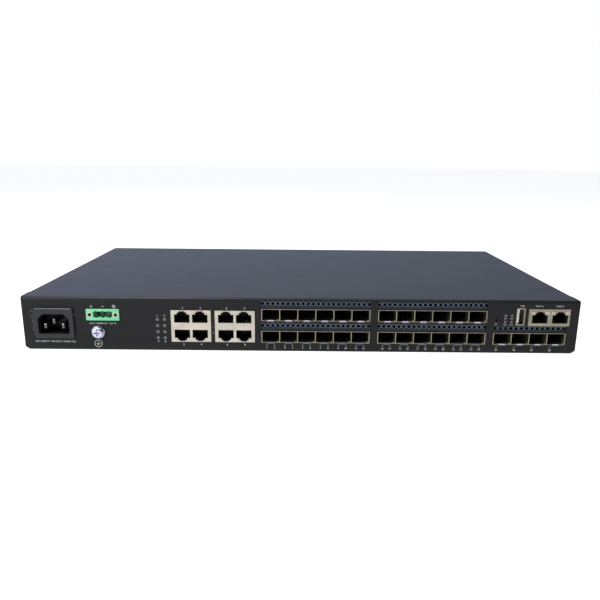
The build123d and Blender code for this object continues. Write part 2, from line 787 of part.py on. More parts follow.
def dc_header_pins():
    """Square pins that pass through the housing into the entry board."""
    tip = FRONT - HEADER_PROUD + HEADER_PIN_BACK
    tail = FRONT - HEADER_PROUD + HEADER_LONG + BOARD + 1
    pins = []
    for x in header_pin_places():
        pins.append(block(span(x, HEADER_PIN), (tip, tail), span(HEADER_Z, HEADER_PIN)))
    return pins


def dc_header_bushes():
    """Threaded metal bushes in the header's flanges."""
    face = FRONT - HEADER_PROUD
    ring = Circle(HEADER_BUSH_RADIUS) - Circle(HEADER_BUSH_BORE)
    bushes = []
    for x in header_bush_places():
        bushes.append(plate(Pos(x, HEADER_Z) * ring, face, face + HEADER_BUSH_LONG))
    return bushes


def dc_entry_board():
    """Small upright board behind the header."""
    front = FRONT - HEADER_PROUD + HEADER_LONG
    low = HEADER_Z - ENTRY_BOARD_UP
    x = span(HEADER_X, ENTRY_BOARD_WIDE)
    board = block(x, (front, front + BOARD), (low, low + ENTRY_BOARD_HIGH))
    for x in header_pin_places():
        hole = rect(span(x, HEADER_PIN), span(HEADER_Z, HEADER_PIN))
        board -= plate(hole, front, front + BOARD)
    return [board]


# ---------------------------------------------------------------- power supply


def from_front(place):
    """An (x, y) place from an x and a distance behind the front panel's face."""
    return place[0], FRONT + place[1]


def power_depths():
    """Front and rear edge of the power board."""
    return (FRONT + POWER_FRONT_GAP, BACK - POWER_REAR_GAP)


def power_standoff_places():
    """Screw places near the power board's corners."""
    front, rear = power_depths()
    depths = (front + 5, rear - 5)
    return [(x, y) for x in (POWER_LEFT + 5, POWER_RIGHT - 5) for y in depths]


def power_board():
    """Supply board, with holes for its screws."""
    low = MAIN_BOARD_TOP - BOARD
    board = block((POWER_LEFT, POWER_RIGHT), power_depths(), (low, MAIN_BOARD_TOP))
    for x, y in power_standoff_places():
        board -= post(x, y, BOARD_SCREW_RADIUS + HOLE_GAP, low, MAIN_BOARD_TOP)
    return [board]


def power_insulator():
    """Thin sheet on the floor under the power board."""
    front, rear = power_depths()
    margin = INSULATOR_MARGIN
    x = (POWER_LEFT - margin, POWER_RIGHT + margin)
    z = (TRAY_SHEET, TRAY_SHEET + INSULATOR)
    sheet = block(x, (front - margin, rear + margin), z)
    for x, y in power_standoff_places():
        sheet -= post(x, y, STANDOFF_RADIUS + CUTOUT_GAP, *z)
    return [sheet]


def power_magnetics():
    """Transformer with its core and winding, and two ring chokes."""
    floor = MAIN_BOARD_TOP
    wide, deep, high = TRANSFORMER
    x, y = from_front(TRANSFORMER_AT)
    core_z = (floor, floor + high)
    core = block(span(x, TRANSFORMER_CORE_WIDE), span(y, deep), core_z)
    winding = block(span(x, wide), span(y, deep - 6), (floor + 3, floor + high - 3))
    winding = fillet(winding.edges().filter_by(Axis.Z), 3)
    pieces = [core, *(winding - core).solids()]
    for cx, cy in map(from_front, CHOKE_AT):
        ring = post(cx, cy, CHOKE_RADIUS, floor, floor + CHOKE_HIGH)
        ring = fillet(ring.edges().filter_by(GeomType.CIRCLE), 2)
        pieces.append(ring - post(cx, cy, CHOKE_BORE, floor, floor + CHOKE_HIGH))
    return pieces


def power_capacitors():
    """Two large input capacitors and a row of output ones."""
    cans = []
    groups = (
        (CAPACITOR_AT, CAPACITOR_RADIUS, CAPACITOR_HIGH),
        (SMALL_CAPACITOR_AT, SMALL_CAPACITOR_RADIUS, SMALL_CAPACITOR_HIGH),
    )
    for places, radius, high in groups:
        for x, y in map(from_front, places):
            can = post(x, y, radius, MAIN_BOARD_TOP, MAIN_BOARD_TOP + high)
            cans.append(fillet(can.edges().filter_by(GeomType.CIRCLE), 0.8))
    return cans


def power_heatsinks():
    """Two upright finned plates."""
    sinks = []
    floor = MAIN_BOARD_TOP
    for place, facing in zip(POWER_SINKS_AT, (-1, 1)):
        x, y = from_front(place)
        z = (floor, floor + POWER_SINK_HIGH)
        length = span(y, POWER_SINK_LONG)
        sink = block(span(x, POWER_SINK_BASE), length, z)
        tip = x + facing * (POWER_SINK_BASE / 2 + POWER_SINK_FIN_LONG)
        for dy in steps(POWER_SINK_FINS, POWER_SINK_LONG / POWER_SINK_FINS):
            fin = block(sorted((x, tip)), span(y + dy, POWER_SINK_FIN), z)
            sink += fin
        sinks.append(sink)
    return sinks


# ---------------------------------------------------------------- leads


def lead(points, radius):
    """A round wire of straight runs joined by arcs as large as the runs allow."""
    corners = [Vector(*point) for point in points]
    runs = [after - before for before, after in zip(corners, corners[1:])]
    radii = []
    for before, after in zip(runs, runs[1:]):
        half_turn = radians(before.get_angle(after)) / 2
        radii.append(0.45 * min(before.length, after.length) / tan(half_turn))
    path = FilletPolyline(*corners, radius=radii)
    section = Plane(origin=path @ 0, z_dir=path % 0) * Circle(radius)
    wire = sweep(section, path=path)
    expected = pi * radius**2 * path.length
    print(f"lead {path.length:.1f} long, radii {[round(r, 1) for r in radii]}", end="")
    print(f", volume over section times length {wire.volume / expected:.4f}")
    return wire


def ac_leads():
    """Three leads from the inlet's blades, over and down into the supply's connector."""
    start = FRONT - INLET_FLANGE_THICK + INLET_BODY_LONG + INLET_TERMINAL_LONG
    top = MAIN_BOARD_TOP + LEAD_CONNECTOR_HIGH
    wires = []
    for x, z in inlet_blade_places():
        route = (
            (x, start, z),
            (x, start + LEAD_STRAIGHT, z),
            (x, lead_connector_y(), z + AC_LEAD_RISE),
            (x, lead_connector_y(), top),
        )
        wires.append(lead(route, AC_LEAD_RADIUS))
    return wires


def dc_leads():
    """Three leads from the entry board down into the supply's connector."""
    start = FRONT - HEADER_PROUD + HEADER_LONG + BOARD + 1
    top = MAIN_BOARD_TOP + LEAD_CONNECTOR_HIGH
    wires = []
    for x in header_pin_places():
        route = (
            (x, start, HEADER_Z),
            (x, start + 1.5 * LEAD_STRAIGHT, HEADER_Z),
            (x, lead_connector_y(), HEADER_Z - DC_LEAD_FALL),
            (x, lead_connector_y(), top),
        )
        wires.append(lead(route, DC_LEAD_RADIUS))
    return wires


def lead_connector_y():
    """Depth of the supply's input connectors."""
    return FRONT + LEAD_CONNECTOR_FROM_FRONT


def output_connector_y():
    """Depth of the supply's output connector and its mate."""
    return FRONT + OUTPUT_CONNECTOR_FROM_FRONT


def output_lead_places():
    """Depth of each lead between the supply and the main board."""
    return [output_connector_y() + dy for dy in steps(OUTPUT_LEADS, OUTPUT_LEAD_PITCH)]


def output_connectors_x():
    """Middle of the output connector on the supply, and of its mate on the main board."""
    inset = LEAD_CONNECTOR_DEEP / 2 + 1
    return (POWER_RIGHT - inset, MAIN_BOARD_LEFT + inset)


def output_leads():
    """Leads that arch from the supply to the main board."""
    low = MAIN_BOARD_TOP + LEAD_CONNECTOR_HIGH
    left, right = output_connectors_x()
    wires = []
    for y in output_lead_places():
        route = (
            (left, y, low),
            (left, y, low + OUTPUT_LEAD_RISE),
            (right, y, low + OUTPUT_LEAD_RISE),
            (right, y, low),
        )
        wires.append(lead(route, DC_LEAD_RADIUS))
    return wires


def fan_connector_y():
    """Depth of the rear face of the fan connectors."""
    return fan_front() - 2 * LEAD_CONNECTOR_DEEP


def fan_lead_places(x):
    """Place of each of a fan's two leads on its frame, clear of the bore."""
    away = FAN_SIZE / 2 - 2
    down = FAN_Z - FAN_SIZE / 5
    return [(x + away, down), (x + away, down - 2.6 * FAN_LEAD_RADIUS)]


def fan_leads():
    """Two short leads from each fan to the main board."""
    wires = []
    for fan_x in FAN_X:
        for x, z in fan_lead_places(fan_x):
            route = (
                (x, fan_front(), z),
                (x, fan_front() - FAN_LEAD_STRAIGHT, z),
                (x, fan_connector_y() + FAN_LEAD_STRAIGHT, z - FAN_LEAD_FALL),
                (x, fan_connector_y(), z - FAN_LEAD_FALL),
            )
            wires.append(lead(route, FAN_LEAD_RADIUS))
    return wires


def board_connectors():
    """Connector blocks for the leads, and the tall ones between the boards."""
    floor = MAIN_BOARD_TOP
    high = (floor, floor + LEAD_CONNECTOR_HIGH)
    deep = LEAD_CONNECTOR_DEEP
    blade_x = [x for x, _z in inlet_blade_places()]
    pin_x = header_pin_places()
    pieces = []
    for places in (blade_x, pin_x):
        x = (min(places) - 3.5, max(places) + 3.5)
        pieces.append(block(x, span(lead_connector_y(), deep), high))
    output_long = span(output_connector_y(), OUTPUT_LEADS * OUTPUT_LEAD_PITCH + 3)
    for x in output_connectors_x():
        pieces.append(block(span(x, deep), output_long, high))
    for fan_x in FAN_X:
        x = fan_lead_places(fan_x)[0][0]
        pieces.append(block(span(x, 6), (fan_connector_y() - deep, fan_connector_y()), high))
    upper = (floor, upper_board_top() - BOARD)
    for left in (LEFT_CAGES_X, RIGHT_CAGES_X):
        middle = left + CAGES_IN_ROW * CAGE_PITCH / 2
        pieces.append(block(span(middle, 40), span(tall_connector_y(), 5), upper))
    service = (floor, service_board_top() - BOARD)
    middle = (SERVICE_BOARD_LEFT + SERVICE_BOARD_RIGHT) / 2
    pieces.append(block(span(middle, 30), span(tall_connector_y(), 5), service))
    return pieces


def tall_connector_y():
    """Depth of the connectors between boards, behind the cages."""
    return cage_back() + UPPER_BOARD_REAR / 2 + 2


# ---------------------------------------------------------------- module cages


def cage_rows():
    """Place, length and front window of each row of cages."""
    upper, lower = upper_board_top(), MAIN_BOARD_TOP
    places = (
        ("upper_left", LEFT_CAGES_X, upper, CAGES_IN_ROW),
        ("upper_right", RIGHT_CAGES_X, upper, CAGES_IN_ROW),
        ("lower_left", LEFT_CAGES_X, lower, CAGES_IN_ROW),
        ("lower_right", RIGHT_CAGES_X, lower, CAGES_IN_ROW),
        ("service", SERVICE_CAGES_X, lower, CAGES_IN_SERVICE_ROW),
    )
    rows = []
    for name, left, floor, count in places:
        service = name == "service"
        right = left + count * CAGE_PITCH + CAGE_WALL
        top = floor + CAGE_HIGH
        window_top = top + (WINDOW_ABOVE_CAGE_SERVICE if service else WINDOW_ABOVE_CAGE)
        rows.append(
            {
                "name": name,
                "x": (left, right),
                "z": (floor, top),
                "count": count,
                "window_x": (left - CUTOUT_GAP, right + CUTOUT_GAP),
                "window_z": (floor - CUTOUT_GAP, window_top),
                "vent_z": top + (VENT_ABOVE_CAGE_SERVICE if service else VENT_ABOVE_CAGE),
                "vent_lap": VENT_LAP_SERVICE if service else VENT_LAP,
                "vent_pitch": VENT_PITCH_SERVICE if service else VENT_PITCH,
                "vents": VENTS_IN_SERVICE_ROW if service else VENTS_IN_ROW,
            }
        )
    return rows


def cell_middles(row):
    """Middle of each cage in a row."""
    first = row["x"][0] + CAGE_WALL / 2 + CAGE_PITCH / 2
    return [first + i * CAGE_PITCH for i in range(row["count"])]


def cage_front():
    """Front edge of the cages, just proud of the panel."""
    return FRONT - CAGE_PROUD


def cage_back():
    """Rear of the cages."""
    return cage_front() + CAGE_DEEP


def cage(row):
    """One row of cages: floor, roof, rear wall, end walls and dividers."""
    low, high = row["z"]
    depth = (cage_front(), cage_back())
    inside = (low + CAGE_SKIN, high - CAGE_SKIN)
    plates = [
        block(row["x"], depth, (low, inside[0])),
        block(row["x"], depth, (inside[1], high)),
        block(row["x"], (cage_back() - CAGE_SKIN, cage_back()), inside),
    ]
    for i in range(row["count"] + 1):
        left = row["x"][0] + i * CAGE_PITCH
        wall_depth = (cage_front(), cage_back() - CAGE_SKIN)
        plates.append(block((left, left + CAGE_WALL), wall_depth, inside))
    return plates


def latch_tongues():
    """The sprung tongue on each cage floor, with its turned-down front tab."""
    tongues = []
    front = cage_front()
    for row in cage_rows():
        floor = row["z"][0] + CAGE_SKIN
        top = floor + TONGUE_THICK
        bottom = row["z"][0] - TONGUE_DROP
        for x in cell_middles(row):
            strip = block(span(x, TONGUE_WIDE), (front, front + TONGUE_LONG), (floor, top))
            hole = Pos(x, front + TONGUE_LATCH_BACK) * Rot(0, 0, 30)
            hole *= RegularPolygon(TONGUE_LATCH_HOLE, 3)
            strip -= Pos(0, 0, floor) * extrude(hole, amount=TONGUE_THICK)
            half_top, half_foot = TONGUE_WIDE / 2, TONGUE_FOOT_WIDE / 2
            tab = make_face(
                Polyline(
                    (x - half_top, top),
                    (x + half_top, top),
                    (x + half_foot, bottom),
                    (x - half_foot, bottom),
                    close=True,
                )
            )
            tongues.append(strip + plate(tab, front - TONGUE_THICK, front))
    return tongues


def cage_connectors():
    """The socket at the back of each cage, with its card slot."""
    sockets = []
    back = cage_back() - CAGE_SKIN
    for row in cage_rows():
        floor = row["z"][0] + CAGE_SKIN
        for x in cell_middles(row):
            body = block(span(x, HOST_WIDE), (back - HOST_DEEP, back), (floor, floor + HOST_HIGH))
            slot_z = span(floor + HOST_HIGH * 0.6, HOST_SLOT_HIGH)
            slot_y = (back - HOST_DEEP, back - HOST_DEEP + HOST_SLOT_DEEP)
            sockets.append(body - block(span(x, HOST_SLOT_WIDE), slot_y, slot_z))
    return sockets


def vent_strips():
    """Perforated strips behind the windows, above each row of cages."""
    strips = []
    hole = RectangleRounded(VENT_HOLE_WIDE, VENT_HOLE_HIGH, VENT_HOLE_CORNER)
    for row in cage_rows():
        lap = row["vent_lap"]
        top = row["z"][1]
        wide = (row["window_x"][0] - lap, row["window_x"][1] + lap)
        sheet = rect(wide, (top + CUTOUT_GAP, row["window_z"][1] + lap))
        middle = sum(row["x"]) / 2
        holes = []
        for dx in steps(row["vents"], row["vent_pitch"]):
            holes.append(Pos(middle + dx, row["vent_z"]) * hole)
        strip = plate(sheet - holes, PANEL_BACK, PANEL_BACK + VENT_SHEET)
        rib_low = top + VENT_RIB_ABOVE_CAGE
        rib_depth = (PANEL_BACK - VENT_RIB_PROUD, PANEL_BACK)
        strip += block(row["x"], rib_depth, (rib_low, rib_low + VENT_RIB_HIGH))
        strips.append(strip)
    return strips


# ---------------------------------------------------------------- copper jacks


def mouth_bands(low, latch_up, wide, spread):
    """Each band of a jack's opening, from the plug's body to its latch: width, heights."""
    bands = [(wide + 2 * spread, low - spread, low + JACK_MOUTH_HIGH + spread)]
    for step_wide, step_high in zip(JACK_STEP_WIDE, JACK_STEP_HIGH):
        _wide, below, above = bands[-1]
        step = (above, above + step_high) if latch_up else (below - step_high, below)
        bands.append((step_wide + 2 * spread, *step))
    return bands


def jack_mouth(x, low, latch_up, wide):
    """A jack's opening: the plug's body and two steps for its latch."""
    mouth = Sketch()
    for band_wide, below, above in mouth_bands(low, latch_up, wide, 0):
        mouth += rect(span(x, band_wide), (below, above))
    return mouth


def jack_places(left):
    """Middle, floor and latch side of the four jacks in a block."""
    places = []
    for i in range(2):
        x = left + JACK_FIRST + i * JACK_PITCH
        places.append((x, MAIN_BOARD_TOP + JACK_LOWER_MOUTH, False))
        places.append((x, MAIN_BOARD_TOP + JACK_UPPER_MOUTH, True))
    return places


def service_jack_places():
    """Middle, floor and latch side of the management and console jacks."""
    first = SERVICE_JACK_X + SERVICE_JACK_FIRST
    floor = service_board_top() + SERVICE_MOUTH_UP
    return [(first + i * SERVICE_JACK_PITCH, floor, True) for i in range(SERVICE_JACKS)]


def jack_face():
    """Front face of the copper jacks."""
    return FRONT - JACK_PROUD


def jack_shield(x, z, deep, mouths):
    """Thin metal box with its mouths cut through the front."""
    face = jack_face()
    outer = block(x, (face, face + deep), z)
    skin = JACK_SKIN
    inner_x = (x[0] + skin, x[1] - skin)
    inner_z = (z[0] + skin, z[1] - skin)
    shell = outer - block(inner_x, (face + skin, face + deep - skin), inner_z)
    for mouth in mouths:
        shell -= plate(mouth, face, face + skin)
    return shell


def jack_insert(x, z, deep, places, wide):
    """Plastic blocks that fill the shield behind, beside and between the plugs' cavities."""
    inset = JACK_SKIN + HOLE_GAP
    face, cavity_end = jack_face() + inset, jack_face() + JACK_CAVITY_DEEP
    low, high = z[0] + inset, z[1] - inset
    middles = sorted({place[0] for place in places})
    between = [(a + b) / 2 for a, b in zip(middles, middles[1:])]
    edges = [x[0] + inset, *between, x[1] - inset]
    back = (cavity_end, jack_face() + deep - inset)
    blocks = [block((edges[0], edges[-1]), back, (low, high))]
    deep_y = (face, cavity_end)
    for middle, left, right in zip(middles, edges, edges[1:]):
        bands = []
        for place_x, floor, latch_up in places:
            if place_x == middle:
                bands += mouth_bands(floor, latch_up, wide, JACK_CAVITY_GAP)
        filled = low
        for band_wide, below, above in sorted(bands, key=lambda band: band[1]):
            if below > filled:
                blocks.append(block((left, right), deep_y, (filled, below)))
            gap_left, gap_right = span(middle, band_wide)
            blocks.append(block((left, gap_left), deep_y, (below, above)))
            blocks.append(block((gap_right, right), deep_y, (below, above)))
            filled = above
        blocks.append(block((left, right), deep_y, (filled, high)))
    return blocks


def jack_block_box(left):
    """Width and height of a two-by-two block."""
    x = (left, left + JACK_BLOCK_WIDE)
    return x, (MAIN_BOARD_TOP, MAIN_BOARD_TOP + JACK_BLOCK_HIGH)


def jack_block_shield(left):
    """Shield of one two-by-two block."""
    x, z = jack_block_box(left)
    mouths = [jack_mouth(*place, JACK_MOUTH_WIDE) for place in jack_places(left)]
    return [jack_shield(x, z, JACK_BLOCK_DEEP, mouths)]


def jack_block_insert(left):
    """Insert of one two-by-two block."""
    x, z = jack_block_box(left)
    return jack_insert(x, z, JACK_BLOCK_DEEP, jack_places(left), JACK_MOUTH_WIDE)


def contact(x, floor, latch_up):
    """One sprung contact, rising towards the rear on the side away from the latch."""
    tip = jack_face() + CONTACT_BACK
    root = jack_face() + JACK_CAVITY_DEEP
    side = 1 if latch_up else -1
    base = floor if latch_up else floor + JACK_MOUTH_HIGH
    low, high = base + side * SLIP_GAP, base + side * (SLIP_GAP + CONTACT_RISE)
    thick = side * CONTACT_THICK
    profile = make_face(
        Polyline(
            (tip, low),
            (root, high),
            (root, high + thick),
            (tip, low + thick),
            close=True,
        )
    )
    side_face = Pos(x - CONTACT_WIDE / 2, 0, 0) * (Plane.YZ * profile)
    return extrude(side_face, amount=CONTACT_WIDE, dir=(1, 0, 0))


def jack_contacts():
    """Eight contacts in every copper jack."""
    places = [place for left in JACK_BLOCKS_X for place in jack_places(left)]
    places += service_jack_places()
    contacts = []
    for x, floor, latch_up in places:
        for dx in steps(CONTACTS, CONTACT_PITCH):
            contacts.append(contact(x + dx, floor, latch_up))
    return contacts


def service_light_shapes(gap):
    """Two small light windows over each service jack."""
    shapes = []
    z = service_board_top() + SERVICE_LIGHT_UP
    for x, _floor, _latch in service_jack_places():
        for dx in (-SERVICE_LIGHT_SPREAD, SERVICE_LIGHT_SPREAD):
            wide, high = SERVICE_LIGHT_WIDE + gap, SERVICE_LIGHT_HIGH + gap
            shapes.append(rect(span(x + dx, wide), span(z, high)))
    return shapes


def service_jack_box():
    """Width and height of the two service jacks together."""
    x = (SERVICE_JACK_X, SERVICE_JACK_X + SERVICE_JACK_WIDE)
    return x, (service_board_top(), service_board_top() + SERVICE_JACK_HIGH)


def service_jack_shield():
    """Shield over the management and console jacks."""
    x, z = service_jack_box()
    mouths = [jack_mouth(*place, SERVICE_MOUTH_WIDE) for place in service_jack_places()]
    shapes = mouths + service_light_shapes(HOLE_GAP)
    return [jack_shield(x, z, SERVICE_JACK_DEEP, shapes)]


def service_jack_insert():
    """Insert of the management and console jacks."""
    x, z = service_jack_box()
    blocks = jack_insert(x, z, SERVICE_JACK_DEEP, service_jack_places(), SERVICE_MOUTH_WIDE)
    back = jack_face() + SERVICE_LIGHT_LONG + HOLE_GAP
    rooms = [plate(shape, jack_face(), back) for shape in service_light_shapes(HOLE_GAP)]
    return [piece - rooms for piece in blocks]


def service_jack_lights():
    """Clear bars behind the light windows."""
    face = jack_face()
    shapes = service_light_shapes(0)
    return [plate(shape, face, face + SERVICE_LIGHT_LONG) for shape in shapes]


# ---------------------------------------------------------------- upright USB socket


def usb_shell():
    """Folded metal tube with a flared lip and two feet on the service board."""
    face = FRONT - USB_PROUD
    inner = Rectangle(USB_WIDE - 2 * USB_SKIN, USB_HIGH - 2 * USB_SKIN)
    ring = Rectangle(USB_WIDE, USB_HIGH) - inner
    lip = Rectangle(USB_WIDE + 2 * USB_LIP, USB_HIGH + 2 * USB_LIP) - inner
    shell = plate(Pos(USB_X, USB_Z) * ring, face, face + USB_DEEP)
    shell += plate(Pos(USB_X, USB_Z) * lip, face, FRONT)
    bottom = USB_Z - USB_HIGH / 2
    for y in (PANEL_BACK + 3, face + USB_DEEP - 3):
        foot = block(span(USB_X, USB_WIDE - 1), span(y, 1.5), (service_board_top(), bottom))
        shell += foot
    return [shell]


def usb_tongue():
    """White tongue against the left wall, on a block that closes the rear."""
    face = FRONT - USB_PROUD
    inside = USB_WIDE / 2 - USB_SKIN - HOLE_GAP
    inner_high = USB_HIGH - 2 * (USB_SKIN + HOLE_GAP)
    left = USB_X - inside + SLIP_GAP
    back = face + USB_DEEP
    tongue_y = (face + USB_TONGUE_BACK, back)
    tongue_x = (left, left + USB_TONGUE_THICK)
    tongue = block(tongue_x, tongue_y, span(USB_Z, USB_TONGUE_HIGH))
    base_y = (back - USB_BASE_LONG, back)
    return [tongue + block(span(USB_X, 2 * inside), base_y, span(USB_Z, inner_high))]


def usb_contacts():
    """Four flat contacts on the tongue."""
    face = FRONT - USB_PROUD
    left = USB_X - USB_WIDE / 2 + USB_SKIN + HOLE_GAP + SLIP_GAP + USB_TONGUE_THICK
    y = (face + USB_TONGUE_BACK + 1, face + USB_DEEP - USB_BASE_LONG)
    strips = []
    for dz in steps(USB_CONTACTS, USB_CONTACT_PITCH):
        z = span(USB_Z + dz, USB_CONTACT_WIDE)
        strips.append(block((left, left + USB_CONTACT_THICK), y, z))
    return strips


# ---------------------------------------------------------------- reset and lights


def reset_button():
    """Plunger behind the pinhole."""
    tip = PANEL_BACK + RESET_PLUNGER_GAP
    stem = rod(RESET_X, RESET_Z, RESET_PLUNGER_RADIUS, tip, tip + RESET_PLUNGER_LONG)
    nose = stem.edges().filter_by(GeomType.CIRCLE).sort_by(Axis.Y)[0]
    return [fillet(nose, RESET_PLUNGER_RADIUS / 3)]


def reset_switch():
    """Upright switch body that guides the plunger."""
    tip = PANEL_BACK + RESET_PLUNGER_GAP
    front = PANEL_BACK + RESET_BODY_BEHIND_PANEL
    high = (service_board_top(), RESET_Z + RESET_BODY_ABOVE)
    depth = (front, front + RESET_BODY_DEEP)
    body = block(span(RESET_X, RESET_BODY_WIDE), depth, high)
    bore = RESET_PLUNGER_RADIUS + RESET_RUNNING_GAP
    end = tip + RESET_PLUNGER_LONG + 2 * RESET_TRAVEL
    return [body - rod(RESET_X, RESET_Z, bore, front, end)]


def light_places():
    """Place, radius, reach and board of every round light."""
    groups = (
        (PORT_LIGHTS_X, PORT_LIGHTS_Z, PORT_LIGHT_RADIUS, MAIN_BOARD_TOP),
        (STATUS_LIGHTS_X, STATUS_LIGHTS_Z, STATUS_LIGHT_RADIUS, service_board_top()),
    )
    places = []
    for across, heights, radius, board in groups:
        for i, z in enumerate(reversed(heights)):
            reach = LIGHT_REACH + i * LIGHT_REACH_STEP
            places += [(x, z, radius, reach, board) for x in across]
    return places


def cage_light_places():
    """Middle of each small triangular light below the cages, and which way it points."""
    places = []
    for row in cage_rows():
        if row["name"].startswith("lower"):
            for x in cell_middles(row):
                places.append((x - CAGE_LIGHT_SPREAD, False))
                places.append((x + CAGE_LIGHT_SPREAD, True))
        if row["name"] == "service":
            for x in cell_middles(row):
                places.append((x - CAGE_PITCH / 2 + CAGE_LIGHT_SPREAD, True))
    return places


def cage_light_z():
    """Height of the small triangular lights, below the lower cages."""
    return MAIN_BOARD_TOP - CAGE_LIGHT_DROP


def light_pipes():
    """Round pipes bent down to their boards, and short triangular ones."""
    pipes = []
    for x, z, radius, reach, board in light_places():
        bend = FRONT + reach
        pipe = rod(x, z, radius, FRONT - LIGHT_PROUD, bend)
        leg_z = (board + LIGHT_ABOVE_BOARD, z + radius)
        pipes.append(pipe + block(span(x, 2 * radius), (bend, bend + 2 * radius), leg_z))
    for x, point_up in cage_light_places():
        shape = triangle(x, cage_light_z(), CAGE_LIGHT_SIDE, point_up)
        pipes.append(plate(shape, FRONT - LIGHT_PROUD, board_front() - SLIP_GAP))
    return pipes


# ---------------------------------------------------------------- boards


def upper_board_top():
    """Height of the board under the upper cages."""
    return MAIN_BOARD_TOP + UPPER_BOARD_RISE


def service_board_top():
    """Height of the board under the service jacks."""
    return MAIN_BOARD_TOP + SERVICE_BOARD_RISE


def board_front():
    """Front edge of the boards, behind the panel and the vent strips."""
    return PANEL_BACK + BOARD_FRONT_GAP


def main_board_rear():
    """Rear edge of the main board, in front of the fans."""
    return BACK - MAIN_BOARD_REAR_GAP


def main_screw_places():
    """Screws of the main board, clear of everything that stands on it."""
    front = cage_front() + 20
    rear = main_board_rear() - 10
    between = (LEFT_CAGES_X + CAGES_IN_ROW * CAGE_PITCH + CAGE_WALL + RIGHT_CAGES_X) / 2
    beside = (RIGHT_CAGES_X + CAGES_IN_ROW * CAGE_PITCH + CAGE_WALL + SERVICE_CAGES_X) / 2
    left, right = MAIN_BOARD_LEFT + 6, MAIN_BOARD_RIGHT - 6
    middle = (left + right) / 2
    rear_places = [(x, rear) for x in (left, middle, right)]
    return [(between, front), (beside, front), (left, 0.0), *rear_places]


def upper_board_x():
    """Left and right edge of the upper board."""
    right = RIGHT_CAGES_X + CAGES_IN_ROW * CAGE_PITCH + CAGE_WALL
    return (LEFT_CAGES_X - UPPER_BOARD_OVERHANG, right + UPPER_BOARD_OVERHANG)


def tall_standoff_places():
    """Place and height of the standoffs under the upper and the service board."""
    y = tall_connector_y()
    left, right = upper_board_x()
    upper = upper_board_top() - BOARD
    service = service_board_top() - BOARD
    between = (left + right) / 2
    places = [(x, y, upper) for x in (left + 4, between, right - 4)]
    places += [(x, y, service) for x in (SERVICE_BOARD_LEFT + 5, SERVICE_BOARD_RIGHT - 5)]
    return places


def main_board():
    """Main board, from the copper jacks to the right wall."""
    z = (MAIN_BOARD_TOP - BOARD, MAIN_BOARD_TOP)
    x = (MAIN_BOARD_LEFT, MAIN_BOARD_RIGHT)
    board = block(x, (board_front(), main_board_rear()), z)
    for x, y in main_screw_places():
        board -= post(x, y, BOARD_SCREW_RADIUS + HOLE_GAP, *z)
    return [board]


def raised_board(x, y, top):
    """A board on tall standoffs."""
    board = block(x, y, (top - BOARD, top))
    for sx, sy, low in tall_standoff_places():
        if low == top - BOARD:
            board -= post(sx, sy, BOARD_SCREW_RADIUS + HOLE_GAP, low, top)
    return [board]


def upper_board():
    """Board that carries the upper cages."""
    rear = cage_back() + UPPER_BOARD_REAR
    return raised_board(upper_board_x(), (board_front(), rear), upper_board_top())


def service_board():
    """Board that carries the USB socket, the service jacks and the reset switch."""
    x = (SERVICE_BOARD_LEFT, SERVICE_BOARD_RIGHT)
    y = (board_front(), board_front() + SERVICE_BOARD_DEEP)
    return raised_board(x, y, service_board_top())


def board_standoffs():
    """Pressed studs in the floor and tall standoffs on the main board."""
    bore = BOARD_SCREW_RADIUS + HOLE_GAP
    studs = []
    low, high = TRAY_SHEET, MAIN_BOARD_TOP - BOARD
    for x, y in (*main_screw_places(), *power_standoff_places()):
        studs.append(post(x, y, STANDOFF_RADIUS, low, high) - post(x, y, bore, low, high))
    for x, y, top in tall_standoff_places():
        stud = post(x, y, TALL_STANDOFF_RADIUS, MAIN_BOARD_TOP, top)
        deep = BOARD_SCREW_LONG + STANDOFF_BORE_SPARE
        studs.append(stud - post(x, y, bore, top - deep, top))
    return studs


def board_screws():
    """Pan-head screws down through every board."""
    places = [(x, y, MAIN_BOARD_TOP) for x, y in main_screw_places()]
    places += [(x, y, MAIN_BOARD_TOP) for x, y in power_standoff_places()]
    places += [(x, y, low + BOARD) for x, y, low in tall_standoff_places()]
    screws = []
    for x, y, top in places:
        head = post(x, y, BOARD_SCREW_HEAD_RADIUS, top, top + BOARD_SCREW_HEAD)
        rim = head.edges().filter_by(GeomType.CIRCLE).sort_by(Axis.Z)[-1]
        head = fillet(rim, BOARD_SCREW_HEAD / 2)
        screws.append(head + post(x, y, BOARD_SCREW_RADIUS, top - BOARD_SCREW_LONG, top))
    return screws


def switch_chip():
    """The main switching chip."""
    x, y = from_front(SWITCH_CHIP_AT)
    wide, deep, high = SWITCH_CHIP
    return [block(span(x, wide), span(y, deep), (MAIN_BOARD_TOP, MAIN_BOARD_TOP + high))]


def switch_heatsink():
    """Finned aluminium block on the switching chip."""
    x, y = from_front(SWITCH_CHIP_AT)
    low = MAIN_BOARD_TOP + SWITCH_CHIP[2]
    side = SWITCH_SINK_SIZE
    sink = block(span(x, side), span(y, side), (low, low + SWITCH_SINK_BASE))
    pitch = (side - SWITCH_SINK_FIN) / (SWITCH_SINK_FINS - 1)
    for dx in steps(SWITCH_SINK_FINS, pitch):
        fin_x = span(x + dx, SWITCH_SINK_FIN)
        sink += block(fin_x, span(y, side), (low, SWITCH_SINK_TOP))
    return [sink]


def board_chips():
    """Line drivers, memory and the other large chips."""
    chips = []
    for x, distance, side, high in CHIPS:
        y = FRONT + distance
        z = (MAIN_BOARD_TOP, MAIN_BOARD_TOP + high)
        chips.append(block(span(x, side), span(y, side), z))
    return chips


# ---------------------------------------------------------------- fans


def fan_front():
    """Front face of the fans, whose rear faces touch the rear panel."""
    return REAR_INSIDE - FAN_DEEP


def fan_screw_places(x):
    """The four corner holes of a fan."""
    across = span(x, FAN_HOLE_SPACING)
    return [(cx, cz) for cx in across for cz in span(FAN_Z, FAN_HOLE_SPACING)]


